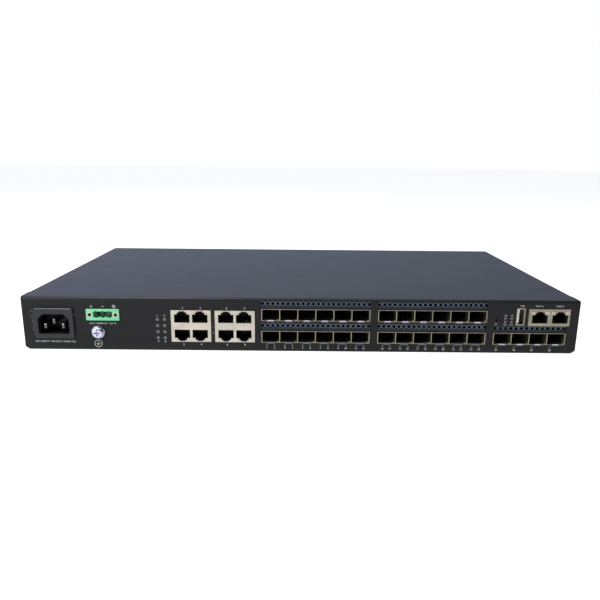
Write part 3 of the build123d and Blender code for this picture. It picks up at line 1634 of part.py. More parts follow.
def fan_frames():
    """Square frames with a round bore, a motor base on struts and a bearing sleeve."""
    return [fan_frame(x) for x in FAN_X]


def fan_frame(x):
    """One fan frame."""
    front, rear = fan_front(), REAR_INSIDE
    ring = RectangleRounded(FAN_SIZE, FAN_SIZE, FAN_CORNER) - Circle(FAN_BORE)
    frame = plate(Pos(x, FAN_Z) * ring, front, rear)
    base_y = (rear - 0.5 - FAN_BASE_THICK, rear - 0.5)
    frame += rod(x, FAN_Z, FAN_BASE_RADIUS, *base_y)
    for i in range(FAN_STRUTS):
        angle = 45 + i * 360 / FAN_STRUTS
        reach = (FAN_BASE_RADIUS - 1, FAN_BORE + 1)
        strut = rect(reach, span(0, FAN_STRUT_WIDE))
        frame += plate(Pos(x, FAN_Z) * Rot(0, 0, angle) * strut, *base_y)
    frame += rod(x, FAN_Z, FAN_SLEEVE_RADIUS, base_y[0] - FAN_SLEEVE_LONG, base_y[0])
    bore = FAN_SHAFT_RADIUS + FAN_RUNNING_GAP
    frame -= rod(x, FAN_Z, bore, base_y[0] - FAN_SLEEVE_LONG, base_y[0])
    for cx, cz in fan_screw_places(x):
        frame -= rod(cx, cz, FAN_HOLE_RADIUS, front, rear)
    return frame


def fan_rotor(x):
    """Hub cup with its blades and shaft."""
    front = fan_front() + FAN_FRONT_GAP
    back = front + FAN_HUB_LONG
    tip = FAN_BORE - FAN_TIP_GAP
    blades = []
    root = FAN_HUB_RADIUS - FAN_HUB_SKIN / 2
    for i in range(FAN_BLADES):
        blade = Box(tip - root + 2, FAN_BLADE_CHORD, FAN_BLADE_THICK)
        tilted = Pos((tip + root + 2) / 2, 0, 0) * Rot(FAN_BLADE_TILT, 0, 0) * blade
        turn = Rot(0, i * 360 / FAN_BLADES, 0)
        blades.append(Pos(x, (front + back) / 2, FAN_Z) * turn * tilted)
    ring = Circle(tip) - Circle(FAN_HUB_RADIUS - FAN_HUB_SKIN / 2)
    swept = plate(Pos(x, FAN_Z) * ring, front, back)
    rotor = rod(x, FAN_Z, FAN_HUB_RADIUS, front, back)
    rotor -= rod(x, FAN_Z, FAN_HUB_RADIUS - FAN_HUB_SKIN, front + FAN_HUB_SKIN, back)
    shaft_y = (front, front + FAN_HUB_SKIN + FAN_SHAFT_LONG)
    rotor += rod(x, FAN_Z, FAN_SHAFT_RADIUS, *shaft_y)
    for blade in blades:
        rotor += blade & swept
    return [rotor]


def fan_screw_head(x, z, gap):
    """A countersunk head in the rear panel, wide at the outside."""
    shank = FAN_HOLE_RADIUS - SLIP_GAP + gap
    cone = Cone(shank, FAN_SCREW_HEAD + gap, PANEL_SHEET)
    return Pos(x, (REAR_INSIDE + BACK) / 2, z) * Rot(-90, 0, 0) * cone


def fan_screws():
    """Flush screws from the rear into the fans' corners."""
    screws = []
    for fan_x in FAN_X:
        for x, z in fan_screw_places(fan_x):
            radius = FAN_HOLE_RADIUS - SLIP_GAP
            shank = rod(x, z, radius, BACK - FAN_SCREW_LONG, REAR_INSIDE)
            screws.append(fan_screw_head(x, z, 0) + shank)
    return screws


# ---------------------------------------------------------------- all nodes


def all_nodes():
    """Name and maker of every node."""
    rows = {row["name"]: row for row in cage_rows()}
    nodes = {
        "chassis_tray": chassis_tray,
        "front_panel": front_panel,
        "rear_panel": rear_panel,
        "top_cover": top_cover,
        "cover_screws": cover_screws,
        "panel_rivets": panel_rivets,
        "ear_nuts": ear_nuts,
        "earth_screw": earth_screw,
        "earth_washer": earth_washer,
        "earth_nut": earth_nut,
        "ac_inlet_housing": ac_inlet_housing,
        "ac_inlet_blades": ac_inlet_blades,
        "dc_header_housing": dc_header_housing,
        "dc_header_pins": dc_header_pins,
        "dc_header_bushes": dc_header_bushes,
        "dc_entry_board": dc_entry_board,
        "ac_leads": ac_leads,
        "dc_leads": dc_leads,
        "output_leads": output_leads,
        "fan_leads": fan_leads,
        "power_board": power_board,
        "power_insulator": power_insulator,
        "power_magnetics": power_magnetics,
        "power_capacitors": power_capacitors,
        "power_heatsinks": power_heatsinks,
        "board_connectors": board_connectors,
        "latch_tongues": latch_tongues,
        "cage_connectors": cage_connectors,
        "vent_strips": vent_strips,
        "jack_contacts": jack_contacts,
        "service_jack_shield": service_jack_shield,
        "service_jack_insert": service_jack_insert,
        "service_jack_lights": service_jack_lights,
        "usb_shell": usb_shell,
        "usb_tongue": usb_tongue,
        "usb_contacts": usb_contacts,
        "reset_button": reset_button,
        "reset_switch": reset_switch,
        "light_pipes": light_pipes,
        "main_board": main_board,
        "upper_board": upper_board,
        "service_board": service_board,
        "board_standoffs": board_standoffs,
        "board_screws": board_screws,
        "switch_chip": switch_chip,
        "switch_heatsink": switch_heatsink,
        "board_chips": board_chips,
        "fan_frames": fan_frames,
        "fan_screws": fan_screws,
    }
    for name, row in rows.items():
        nodes[f"cage_{name}"] = lambda row=row: cage(row)
    for side, left in zip(("left", "right"), JACK_BLOCKS_X):
        nodes[f"jack_shield_{side}"] = lambda left=left: jack_block_shield(left)
        nodes[f"jack_insert_{side}"] = lambda left=left: jack_block_insert(left)
    for side, x in zip(("left", "right"), FAN_X):
        nodes[f"fan_rotor_{side}"] = lambda x=x: fan_rotor(x)
    return nodes


def main():
    """Write one STEP file for each node."""
    os.makedirs("parts", exist_ok=True)
    for name, make in all_nodes().items():
        pieces = make()
        solids = [solid for piece in pieces for solid in piece.solids()]
        shape = solids[0] if len(solids) == 1 else Compound(solids)
        export_step(shape, f"parts/{name}.step")
        print(name, len(solids))


main()
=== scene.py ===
import math

import bmesh
import bpy
from mathutils import Matrix, Vector


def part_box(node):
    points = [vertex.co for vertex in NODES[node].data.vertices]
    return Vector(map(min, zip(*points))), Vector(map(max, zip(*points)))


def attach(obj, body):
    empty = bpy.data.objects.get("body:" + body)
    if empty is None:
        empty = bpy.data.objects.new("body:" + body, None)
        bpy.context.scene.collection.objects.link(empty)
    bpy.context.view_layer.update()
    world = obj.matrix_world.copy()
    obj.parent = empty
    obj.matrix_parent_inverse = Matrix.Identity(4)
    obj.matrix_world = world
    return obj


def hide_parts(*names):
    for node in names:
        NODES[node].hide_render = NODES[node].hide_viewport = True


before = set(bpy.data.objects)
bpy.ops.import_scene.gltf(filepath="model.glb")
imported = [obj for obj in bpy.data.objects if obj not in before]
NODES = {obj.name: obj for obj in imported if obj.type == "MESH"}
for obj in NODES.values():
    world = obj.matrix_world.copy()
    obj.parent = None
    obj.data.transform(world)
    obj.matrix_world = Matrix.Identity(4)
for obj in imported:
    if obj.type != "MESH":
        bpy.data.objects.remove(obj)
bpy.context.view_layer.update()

bl_info = {
    "name": "Rackmount network switch",
    "version": (1, 0, 0),
    "blender": (4, 5, 0),
    "location": "3D View > Sidebar > Switch",
    "description": "Finishes, fittings and labels of a rackmount network switch around its CAD frame",
    "category": "Object",
}

MM = 0.001
CASE = "case"
FACE_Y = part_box("front_panel")[0].y


# ---------------------------------------------------------------- sizes and colours


def length(name, description, default):
    """A length property, shown in the scene's units."""
    return bpy.props.FloatProperty(
        name=name, description=description, default=default, unit="LENGTH", subtype="DISTANCE", precision=5
    )


def colour(name, description, default):
    """A linear colour property."""
    return bpy.props.FloatVectorProperty(
        name=name, description=description, default=default, subtype="COLOR", size=3, min=0.0, max=1.0
    )


def factor(name, description, default):
    """A property from nought to one."""
    return bpy.props.FloatProperty(
        name=name, description=description, default=default, subtype="FACTOR", min=0.0, max=1.0
    )


def power(name, description, default):
    """The power of a light."""
    return bpy.props.FloatProperty(name=name, description=description, default=default, unit="POWER")


class CaseLooks(bpy.types.PropertyGroup):
    """Paint and edges of the sheet-metal case."""

    paint: colour("Paint", "Powder coat colour", (0.0092, 0.0094, 0.0098))
    gloss: factor("Roughness", "Roughness of the powder coat", 0.42)
    edge: length("Sheet edge", "Rounding of cut sheet edges", 0.18 * MM)
    cover_edge: length("Cover edge", "Rounding of the top cover's edges", 0.45 * MM)
    shine: factor("Shine", "Specular level of the powder coat", 0.15)
    moulded_edge: length("Moulded edge", "Rounding of moulded edges", 0.22 * MM)


class MetalLooks(bpy.types.PropertyGroup):
    """Bare and plated metals."""

    jack: colour("Jack shields", "Warm plated shields of the copper jacks", (0.50, 0.465, 0.395))
    service: colour("Service shield", "Duller shield of the two service jacks", (0.29, 0.27, 0.20))
    cage: colour("Cages", "Plated sheet of the module cages", (0.30, 0.275, 0.20))
    # Cage lips: a lighter copy of the cage plating, painted highlight for thin edges that catch the light
    cage_lip: colour("Cage lips", "Lighter copy of the cage plating, a painted highlight", (0.36, 0.33, 0.26))
    # Tongue tabs: darker bluish copy of the tongue plating, painted shade on the tongues
    tab: colour("Tongue tabs", "Darker bluish copy of the tongue plating, painted shade", (0.13, 0.135, 0.165))
    # Latch tongues: bright copy of the tongue plating, a painted glint on the tongues that catch the light
    tongue: colour("Latch tongues", "Painted glint on the latch tongues", (0.60, 0.59, 0.62))
    zinc: colour("Zinc", "Bright zinc of the earth screw", (0.50, 0.50, 0.62))
    vent: colour("Vent strips", "Bluish plated vent strips", (0.030, 0.038, 0.047))
    # Vent rims: light rings round the punched holes, painted highlight for the holes' lit edges
    vent_rim: colour("Vent rims", "Light rings round the punched holes, a painted highlight", (0.17, 0.20, 0.26))


class PlasticLooks(bpy.types.PropertyGroup):
    """Moulded plastics and ink."""

    inlet: colour("Inlet", "Black of the mains inlet", (0.012, 0.0125, 0.0135))
    header: colour("Header", "Green of the terminal header", (0.15, 0.50, 0.26))
    insert: colour("Jack inserts", "Black of the jack inserts", (0.012, 0.012, 0.013))
    ink: colour("Ink", "Printed marks", (0.46, 0.47, 0.46))
    faint_ink: colour("Faint ink", "Small worn marks", (0.11, 0.115, 0.125))
    board: colour("Boards", "Solder mask", (0.010, 0.085, 0.038))


class LabelSizes(bpy.types.PropertyGroup):
    """Sizes of the printed marks."""

    digit: length("Port numbers", "Height of a port number", 1.75 * MM)
    word: length("Words", "Height of a printed word", 1.35 * MM)
    ink_lift: length("Ink thickness", "How far the ink stands off the paint", 0.04 * MM)
    line: length("Line", "Width of a drawn line", 0.36 * MM)


class StageLooks(bpy.types.PropertyGroup):
    """Floor, light and camera."""

    floor: colour("Floor", "Colour of the floor", (0.32, 0.32, 0.32))
    floor_glow: factor("Floor glow", "How much of its whiteness the floor gives off itself", 0.86)
    floor_side: length("Floor side", "Length of the floor's side", 12.0)
    overhead_power: power("Overhead light", "Power of the wide overhead light", 9.0)
    lamp_power: power("Upper left light", "Power of the small light above the left end", 16.0)
    strip_power: power("Overhead strip", "Power of the long light above the front edge", 4.0)
    key_power: power("Left light", "Power of the low light in front of the left end", 6.5)
    back_sky: colour("Rear surround", "Bluish light from behind", (0.65, 0.76, 1.0))
    front_sky: colour("Front surround", "Dim light from the front", (0.04, 0.04, 0.04))
    sky: bpy.props.FloatProperty(name="Surround", description="Strength of the surround", default=1.2)


LOOKS = (
    ("switch_case", CaseLooks),
    ("switch_metal", MetalLooks),
    ("switch_plastic", PlasticLooks),
    ("switch_labels", LabelSizes),
    ("switch_stage", StageLooks),
)


# ---------------------------------------------------------------- material helpers


def surface(name, base, roughness, metallic=0.0):
    """A new material and its shader, with the constants that hold all over it."""
    made = bpy.data.materials.new(name)
    made.use_nodes = True
    shader = made.node_tree.nodes["Principled BSDF"]
    shader.inputs["Base Color"].default_value = (*base, 1.0)
    shader.inputs["Roughness"].default_value = roughness
    shader.inputs["Metallic"].default_value = metallic
    return made, shader


def add(made, kind, **values):
    """A node with some of its inputs set."""
    node = made.node_tree.nodes.new(kind)
    for name, value in values.items():
        node.inputs[name.replace("_", " ")].default_value = value
    return node


def wire(made, source, target):
    """Join an output to an input."""
    made.node_tree.links.new(source, target)


def place(made, stretch=(1.0, 1.0, 1.0)):
    """Object coordinates, stretched along each axis."""
    spot = made.node_tree.nodes.new("ShaderNodeTexCoord")
    mapping = add(made, "ShaderNodeMapping", Scale=stretch)
    wire(made, spot.outputs["Object"], mapping.inputs["Vector"])
    return mapping.outputs["Vector"]


def grain(made, scale, detail=3.0, stretch=(1.0, 1.0, 1.0)):
    """Noise of a given fineness, from nought to one."""
    noise = add(made, "ShaderNodeTexNoise", Scale=scale, Detail=detail)
    wire(made, place(made, stretch), noise.inputs["Vector"])
    return noise.outputs["Fac"]


def ranged(made, source, low, high, start=0.3, end=0.7):
    """A source squeezed between two values."""
    node = made.node_tree.nodes.new("ShaderNodeMapRange")
    node.inputs["From Min"].default_value = start
    node.inputs["From Max"].default_value = end
    node.inputs["To Min"].default_value = low
    node.inputs["To Max"].default_value = high
    wire(made, source, node.inputs["Value"])
    return node.outputs["Result"]


def tint(made, shader, source, first, second):
    """Colour that drifts between two values."""
    mix = made.node_tree.nodes.new("ShaderNodeMix")
    mix.data_type = "RGBA"
    mix.inputs["A"].default_value = (*first, 1.0)
    mix.inputs["B"].default_value = (*second, 1.0)
    wire(made, source, mix.inputs["Factor"])
    wire(made, mix.outputs["Result"], shader.inputs["Base Color"])


def bump(made, shader, source, strength, distance):
    """Fine relief from a source."""
    node = add(made, "ShaderNodeBump", Strength=strength, Distance=distance)
    wire(made, source, node.inputs["Height"])
    wire(made, node.outputs["Normal"], shader.inputs["Normal"])


def scaled(base, share):
    """A colour made lighter or darker."""
    return tuple(min(1.0, part * share) for part in base)


# ---------------------------------------------------------------- materials


def powder_coat():
    """Fine matt texture paint on the case."""
    looks = bpy.context.scene.switch_case
    made, shader = surface("powder_coat", looks.paint, looks.gloss)
    shader.inputs["Specular IOR Level"].default_value = looks.shine
    drift = ranged(made, grain(made, 14.0, 2.0), 0.0, 1.0)
    tint(made, shader, drift, scaled(looks.paint, 0.96), scaled(looks.paint, 1.05))
    patches = grain(made, 45.0, 4.0)
    wire(made, ranged(made, patches, looks.gloss - 0.015, looks.gloss + 0.015), shader.inputs["Roughness"])
    bump(made, shader, grain(made, 2600.0, 4.0), 0.35, 0.03 * MM)
    return made


def plated(name, base, roughness, stretch=(1.0, 1.0, 1.0), fineness=700.0):
    """Plated sheet metal with rolled grain, dull patches and a slight tint."""
    made, shader = surface(name, base, roughness, metallic=1.0)
    drift = ranged(made, grain(made, 90.0, 4.0), 0.0, 1.0)
    tint(made, shader, drift, scaled(base, 0.86), scaled(base, 1.06))
    rolled = grain(made, fineness, 2.0, stretch)
    wire(made, ranged(made, rolled, roughness - 0.07, roughness + 0.1), shader.inputs["Roughness"])
    bump(made, shader, rolled, 0.12, 0.02 * MM)
    return made


def moulded(name, base, roughness, relief=0.25):
    """Moulded plastic with a spark-eroded texture."""
    made, shader = surface(name, base, roughness)
    shader.inputs["Specular IOR Level"].default_value = 0.3
    drift = ranged(made, grain(made, 60.0, 3.0), 0.0, 1.0)
    tint(made, shader, drift, scaled(base, 0.9), scaled(base, 1.08))
    patches = grain(made, 300.0)
    wire(made, ranged(made, patches, roughness - 0.05, roughness + 0.06), shader.inputs["Roughness"])
    bump(made, shader, grain(made, 3200.0, 3.0), relief, 0.02 * MM)
    return made


def clear_light(name, base):
    """Milky light pipe that lets a little light in."""
    made, shader = surface(name, base, 0.3)
    shader.inputs["Subsurface Weight"].default_value = 0.25
    shader.inputs["Subsurface Radius"].default_value = (MM, MM, MM)
    drift = ranged(made, grain(made, 500.0), 0.0, 1.0)
    tint(made, shader, drift, scaled(base, 0.92), scaled(base, 1.05))
    bump(made, shader, grain(made, 1500.0), 0.1, 0.01 * MM)
    return made


def ink(name, base):
    """Slightly uneven screen-printed ink."""
    made, shader = surface(name, base, 0.5)
    drift = ranged(made, grain(made, 2200.0, 4.0), 0.0, 1.0)
    tint(made, shader, drift, scaled(base, 0.86), base)
    bump(made, shader, grain(made, 4000.0), 0.15, 0.01 * MM)
    return made


def solder_mask():
    """Green board with tracks under the mask."""
    looks = bpy.context.scene.switch_plastic
    made, shader = surface("solder_mask", looks.board, 0.3)
    brick = made.node_tree.nodes.new("ShaderNodeTexBrick")
    brick.inputs["Scale"].default_value = 260.0
    brick.inputs["Mortar Size"].default_value = 0.035
    brick.inputs["Color1"].default_value = (*looks.board, 1.0)
    brick.inputs["Color2"].default_value = (*scaled(looks.board, 0.8), 1.0)
    brick.inputs["Mortar"].default_value = (*scaled(looks.board, 2.1), 1.0)
    wire(made, place(made), brick.inputs["Vector"])
    wire(made, brick.outputs["Color"], shader.inputs["Base Color"])
    bump(made, shader, brick.outputs["Fac"], 0.3, 0.03 * MM)
    return made


def studio_floor():
    """Matt floor that glows by itself, so that it stays white far behind."""
    looks = bpy.context.scene.switch_stage
    made, shader = surface("studio_floor", looks.floor, 0.9)
    shader.inputs["Specular IOR Level"].default_value = 0.1
    shader.inputs["Emission Color"].default_value = (1.0, 1.0, 1.0, 1.0)
    shader.inputs["Emission Strength"].default_value = looks.floor_glow
    drift = ranged(made, grain(made, 3.0, 2.0), 0.0, 1.0)
    tint(made, shader, drift, scaled(looks.floor, 0.995), looks.floor)
    return made


FINISHES = {}


def finish(name):
    """The material of that name, made once."""
    if name not in FINISHES:
        metal = bpy.context.scene.switch_metal
        plastic = bpy.context.scene.switch_plastic
        sideways = (0.08, 1.0, 1.0)
        makers = {
            "powder_coat": powder_coat,
            "printed_ink": lambda: ink("printed_ink", plastic.ink),
            "faint_ink": lambda: ink("faint_ink", plastic.faint_ink),
            "solder_mask": solder_mask,
            "studio_floor": studio_floor,
            "jack_shield": lambda: plated("jack_shield", metal.jack, 0.46, sideways, 900.0),
            "cage_sheet": lambda: plated("cage_sheet", metal.cage, 0.42, (1.0, 0.08, 1.0), 900.0),
            # A lighter copy of the cage plating, a painted highlight for edges that catch the light
            "cage_lip": lambda: plated("cage_lip", metal.cage_lip, 0.4),
            # Bright copy of the tongue plating: painted glint
            "latch_plate": lambda: plated("latch_plate", metal.tongue, 0.3),
            # Darker bluish copy of the tongue plating: painted shade
            "tab_plate": lambda: plated("tab_plate", metal.tab, 0.4),
            "service_shield": lambda: plated("service_shield", metal.service, 0.46, sideways, 900.0),
            "zinc_plate": lambda: plated("zinc_plate", metal.zinc, 0.3),
            "vent_sheet": lambda: plated("vent_sheet", metal.vent, 0.4, sideways, 900.0),
            # Light rings round the vent holes: painted highlight
            "vent_rim": lambda: plated("vent_rim", metal.vent_rim, 0.38),
            "nickel_blade": lambda: plated("nickel_blade", (0.12, 0.117, 0.108), 0.4),
            "bronze_bush": lambda: plated("bronze_bush", (0.20, 0.11, 0.09), 0.4),
            "gold_contact": lambda: plated("gold_contact", (0.83, 0.62, 0.28), 0.26),
            "black_screw": lambda: plated("black_screw", (0.035, 0.035, 0.037), 0.35),
            "sink_aluminium": lambda: plated("sink_aluminium", (0.72, 0.73, 0.75), 0.4, (1.0, 0.06, 1.0)),
            "inlet_black": lambda: moulded("inlet_black", plastic.inlet, 0.45),
            "header_green": lambda: moulded("header_green", plastic.header, 0.42, 0.15),
            "insert_black": lambda: moulded("insert_black", plastic.insert, 0.5),
            "fan_black": lambda: moulded("fan_black", (0.016, 0.016, 0.017), 0.5),
            "chip_black": lambda: moulded("chip_black", (0.02, 0.02, 0.021), 0.55, 0.4),
            "ivory_nylon": lambda: moulded("ivory_nylon", (0.72, 0.69, 0.58), 0.5),
            "tongue_white": lambda: moulded("tongue_white", (0.86, 0.87, 0.88), 0.35, 0.1),
            "winding_tape": lambda: moulded("winding_tape", (0.62, 0.43, 0.06), 0.35, 0.1),
            "can_sleeve": lambda: moulded("can_sleeve", (0.03, 0.05, 0.11), 0.3, 0.1),
            "mains_sleeve": lambda: moulded("mains_sleeve", (0.16, 0.07, 0.03), 0.4, 0.1),
            "low_sleeve": lambda: moulded("low_sleeve", (0.38, 0.02, 0.02), 0.4, 0.1),
            "light_pipe": lambda: clear_light("light_pipe", (0.10, 0.107, 0.10)),
            "olive_window": lambda: clear_light("olive_window", (0.42, 0.41, 0.33)),
        }
        FINISHES[name] = makers[name]()
    return FINISHES[name]


# ---------------------------------------------------------------- mesh helpers


def dress(node, name):
    """Give a CAD node one material all over."""
    mesh = NODES[node].data
    mesh.materials.clear()
    mesh.materials.append(finish(name))


def joined(name, parts):
    """One mesh object from several bmesh pieces, which are used up."""
    mesh = bpy.data.meshes.new(name)
    whole = bmesh.new()
    for part in parts:
        part.to_mesh(mesh)
        whole.from_mesh(mesh)
        part.free()
    mesh.clear_geometry()
    whole.to_mesh(mesh)
    whole.free()
    made = bpy.data.objects.new(name, mesh)
    bpy.context.scene.collection.objects.link(made)
    return made


def settle(piece, material, body, slot, *stands_for):
    """Last touches on a finished piece: its material, its body and the nodes it stands for."""
    if not piece.data.materials:
        piece.data.materials.append(finish(material))
    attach(piece, body)
    if stands_for:
        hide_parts(*stands_for)
    return piece


WELD = 0.002 * MM
FLAT_ANGLE = math.radians(0.6)
EDGE_ANGLE = math.radians(40)


def softened(node, material, slot, edge, body=CASE, segments=2):
    """A copy of a CAD node with its sharp edges rounded, in place of that node."""
    shape = bmesh.new()
    shape.from_mesh(NODES[node].data)
    bmesh.ops.remove_doubles(shape, verts=shape.verts, dist=WELD)
    bmesh.ops.dissolve_limit(
        shape, angle_limit=FLAT_ANGLE, verts=shape.verts, edges=shape.edges, delimit={"NORMAL"}
    )
    piece = joined(f"{node}_finished", [shape])
    rounding = piece.modifiers.new("rounded edges", "BEVEL")
    rounding.width = edge
    rounding.segments = segments
    rounding.limit_method = "ANGLE"
    rounding.angle_limit = EDGE_ANGLE
    rounding.use_clamp_overlap = True
    rounding.harden_normals = False
    return settle(piece, material, body, slot, node)


def box_shape(low, high, edge=0.0, segments=2):
    """A box with rounded edges, as a bmesh."""
    shape = bmesh.new()
    bmesh.ops.create_cube(shape, size=1.0)
    low, high = Vector(low), Vector(high)
    bmesh.ops.scale(shape, vec=high - low, verts=shape.verts)
    bmesh.ops.translate(shape, vec=(low + high) / 2, verts=shape.verts)
    if edge > 0:
        bmesh.ops.bevel(
            shape, geom=shape.edges[:], offset=edge, segments=segments, affect="EDGES", profile=0.5
        )
    return shape


def ring_shape(x, z, outer, inner, front, back, sides=32):
    """A flat round ring seen from the front."""
    shape = bmesh.new()
    turns = [2 * math.pi * i / sides for i in range(sides)]
    loops = []
    for radius, y in ((outer, front), (inner, front), (inner, back), (outer, back)):
        spots = [(x + radius * math.cos(t), y, z + radius * math.sin(t)) for t in turns]
        loops.append([shape.verts.new(spot) for spot in spots])
    for first, second in zip(loops, loops[1:] + loops[:1]):
        for i in range(sides):
            after = (i + 1) % sides
            shape.faces.new((first[i], first[after], second[after], second[i]))
    bmesh.ops.recalc_face_normals(shape, faces=shape.faces)
    return shape


# ---------------------------------------------------------------- repeating with geometry nodes


ROW_TREE = "repeat_in_a_row"


def row_tree():
    """A node tree that repeats a piece along a line."""
    tree = bpy.data.node_groups.new(ROW_TREE, "GeometryNodeTree")
    face = tree.interface
    face.new_socket("Piece", in_out="INPUT", socket_type="NodeSocketGeometry")
    face.new_socket("Start", in_out="INPUT", socket_type="NodeSocketVector")
    face.new_socket("Step", in_out="INPUT", socket_type="NodeSocketVector")
    face.new_socket("Count", in_out="INPUT", socket_type="NodeSocketInt")
    face.new_socket("Material", in_out="INPUT", socket_type="NodeSocketMaterial")
    face.new_socket("Result", in_out="OUTPUT", socket_type="NodeSocketGeometry")
    make, link = tree.nodes.new, tree.links.new
    given, result = make("NodeGroupInput"), make("NodeGroupOutput")
    line, along = make("GeometryNodeMeshLine"), make("GeometryNodeInstanceOnPoints")
    line.mode = "OFFSET"
    flatten, paint = make("GeometryNodeRealizeInstances"), make("GeometryNodeSetMaterial")
    link(given.outputs["Count"], line.inputs["Count"])
    link(given.outputs["Start"], line.inputs["Start Location"])
    link(given.outputs["Step"], line.inputs["Offset"])
    link(line.outputs["Mesh"], along.inputs["Points"])
    link(given.outputs["Piece"], along.inputs["Instance"])
    link(along.outputs["Instances"], flatten.inputs["Geometry"])
    link(flatten.outputs["Geometry"], paint.inputs["Geometry"])
    link(given.outputs["Material"], paint.inputs["Material"])
    link(paint.outputs["Geometry"], result.inputs["Result"])
    return tree


def in_a_row(shape, material, start, step, count):
    """One piece repeated in a row, as a bmesh; the piece is used up."""
    tree = bpy.data.node_groups.get(ROW_TREE) or row_tree()
    seed = joined("seed", [shape])
    maker = seed.modifiers.new("repeat", "NODES")
    maker.node_group = tree
    items = tree.interface.items_tree
    sockets = {item.name: item.identifier for item in items if item.item_type == "SOCKET"}
    values = {"Start": start, "Step": step, "Count": count, "Material": finish(material)}
    for name, value in values.items():
        maker[sockets[name]] = value
    held = bpy.context.evaluated_depsgraph_get()
    mesh = bpy.data.meshes.new_from_object(seed.evaluated_get(held), depsgraph=held)
    made = bmesh.new()
    made.from_mesh(mesh)
    bpy.data.meshes.remove(mesh)
    bpy.data.objects.remove(seed)
    return made


# ---------------------------------------------------------------- where things are


CELLS = 6
SERVICE_CELLS = 4
CAGE_WALL = 0.6 * MM
CAGE_SKIN = 0.35 * MM
CAGE_ROWS = {
    "cage_upper_left": CELLS,
    "cage_upper_right": CELLS,
    "cage_lower_left": CELLS,
    "cage_lower_right": CELLS,
    "cage_service": SERVICE_CELLS,
}


def cell_pitch(row):
    """The width of one cage cell in a row."""
    low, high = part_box(row)
    return (high.x - low.x - CAGE_WALL) / CAGE_ROWS[row]


def cell_centre(row, number):
    """Where the middle of a cell is, from the left."""
    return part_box(row)[0].x + CAGE_WALL / 2 + cell_pitch(row) * (number + 0.5)


# ---------------------------------------------------------------- operators


class SwitchStep(bpy.types.Operator):
    """A step in making the switch"""

    bl_idname = "switch.step"
    bl_label = "Step"
    bl_options = {"REGISTER", "UNDO"}

    def make(self):
        """The step's own work."""
        raise RuntimeError("this step makes nothing")

    def execute(self, context):
        self.make()
        return {"FINISHED"}


class CaseSheets(SwitchStep):
    """Paint the case sheets and round their cut edges"""

    bl_idname = "switch.case_sheets"
    bl_label = "Case sheets"

    def make(self):
        looks = bpy.context.scene.switch_case
        for node in ("chassis_tray", "front_panel", "rear_panel"):
            softened(node, "powder_coat", "case_paint", looks.edge)
        softened("top_cover", "powder_coat", "case_paint", looks.cover_edge)


class Fixings(SwitchStep):
    """Finish the screws, rivets and nuts"""

    bl_idname = "switch.fixings"
    bl_label = "Fixings"

    def make(self):
        for node in ("cover_screws", "panel_rivets", "fan_screws"):
            dress(node, "black_screw")
        for node in ("ear_nuts", "earth_screw", "earth_washer", "earth_nut", "board_screws"):
            dress(node, "zinc_plate")


class MainsInlet(SwitchStep):
    """Finish the mains inlet"""

    bl_idname = "switch.mains_inlet"
    bl_label = "Mains inlet"

    def make(self):
        edge = bpy.context.scene.switch_case.moulded_edge
        softened("ac_inlet_housing", "inlet_black", "inlet_plastic", edge)
        dress("ac_inlet_blades", "nickel_blade")


# The two rims in shares of a bush's radius, and how far they reach out of and into the housing
BUSH_RIM_OUTER = 1.25
BUSH_RIM_INNER = 0.8
BUSH_RIM_PROUD = 0.05 * MM
BUSH_RIM_DEEP = 0.1 * MM


class TerminalHeader(SwitchStep):
    """Finish the green terminal header"""

    bl_idname = "switch.terminal_header"
    bl_label = "Terminal header"

    def make(self):
        edge = bpy.context.scene.switch_case.moulded_edge
        softened("dc_header_housing", "header_green", "header_green", edge)
        dress("dc_header_bushes", "bronze_bush")
        dress("dc_header_pins", "nickel_blade")
        low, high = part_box("dc_header_bushes")
        face, radius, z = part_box("dc_header_housing")[0].y, (high.z - low.z) / 2, (high.z + low.z) / 2
        rings = []
        for x in (low.x + radius, high.x - radius):
            outer, inner = radius * BUSH_RIM_OUTER, radius * BUSH_RIM_INNER
            rings.append(ring_shape(x, z, outer, inner, face - BUSH_RIM_PROUD, face + BUSH_RIM_DEEP))
        settle(joined("header_bush_rims", rings), "jack_shield", CASE, "blade_metal")


class CopperJacks(SwitchStep):
    """Finish the copper jacks"""

    bl_idname = "switch.copper_jacks"
    bl_label = "Copper jacks"

    def make(self):
        edge = bpy.context.scene.switch_case.edge
        for node in ("jack_shield_left", "jack_shield_right"):
            softened(node, "jack_shield", "jack_nickel", edge)
        softened("service_jack_shield", "service_shield", "jack_nickel", edge)
        for node in ("jack_insert_left", "jack_insert_right", "service_jack_insert"):
            softened(node, "insert_black", "jack_plastic", edge)
        dress("jack_contacts", "gold_contact")
        dress("service_jack_lights", "olive_window")


# For each row of cages: holes in its vent strip, their pitch and their height above the row
VENTS = {
    "cage_upper_left": (22, 4.0 * MM, 4.2 * MM),
    "cage_upper_right": (22, 4.0 * MM, 4.2 * MM),
    "cage_lower_left": (22, 4.0 * MM, 4.2 * MM),
    "cage_lower_right": (22, 4.0 * MM, 4.2 * MM),
    "cage_service": (14, 4.2 * MM, 3.75 * MM),
}
# The light strip on a latch tongue, a painted glint
LATCH_GLINT_WIDE = 4.9 * MM
LATCH_GLINT_HIGH = 0.62 * MM
LATCH_GLINT_RISE = 0.12 * MM
LATCH_GLINT_PROUD = 0.06 * MM
LATCH_GLINT_DEEP = 0.2 * MM
LATCH_GLINT_ROUND = 0.05 * MM
NUB_WIDE = 0.8 * MM
NUB_FROM_WALL = 0.7 * MM
NUB_BACK = 0.25 * MM
NUB_DEEP = 0.85 * MM
NUB_TOP = 1.25 * MM
NUB_ROUND = 0.12 * MM
# Light rings round the vent holes, a painted highlight for their lit edges
RIM_OUTER = 1.72 * MM
RIM_INNER = 1.42 * MM
RIM_PROUD = 0.07 * MM
RIM_SIDES = 20
VENT_STRIP_BACK = 1.2 * MM


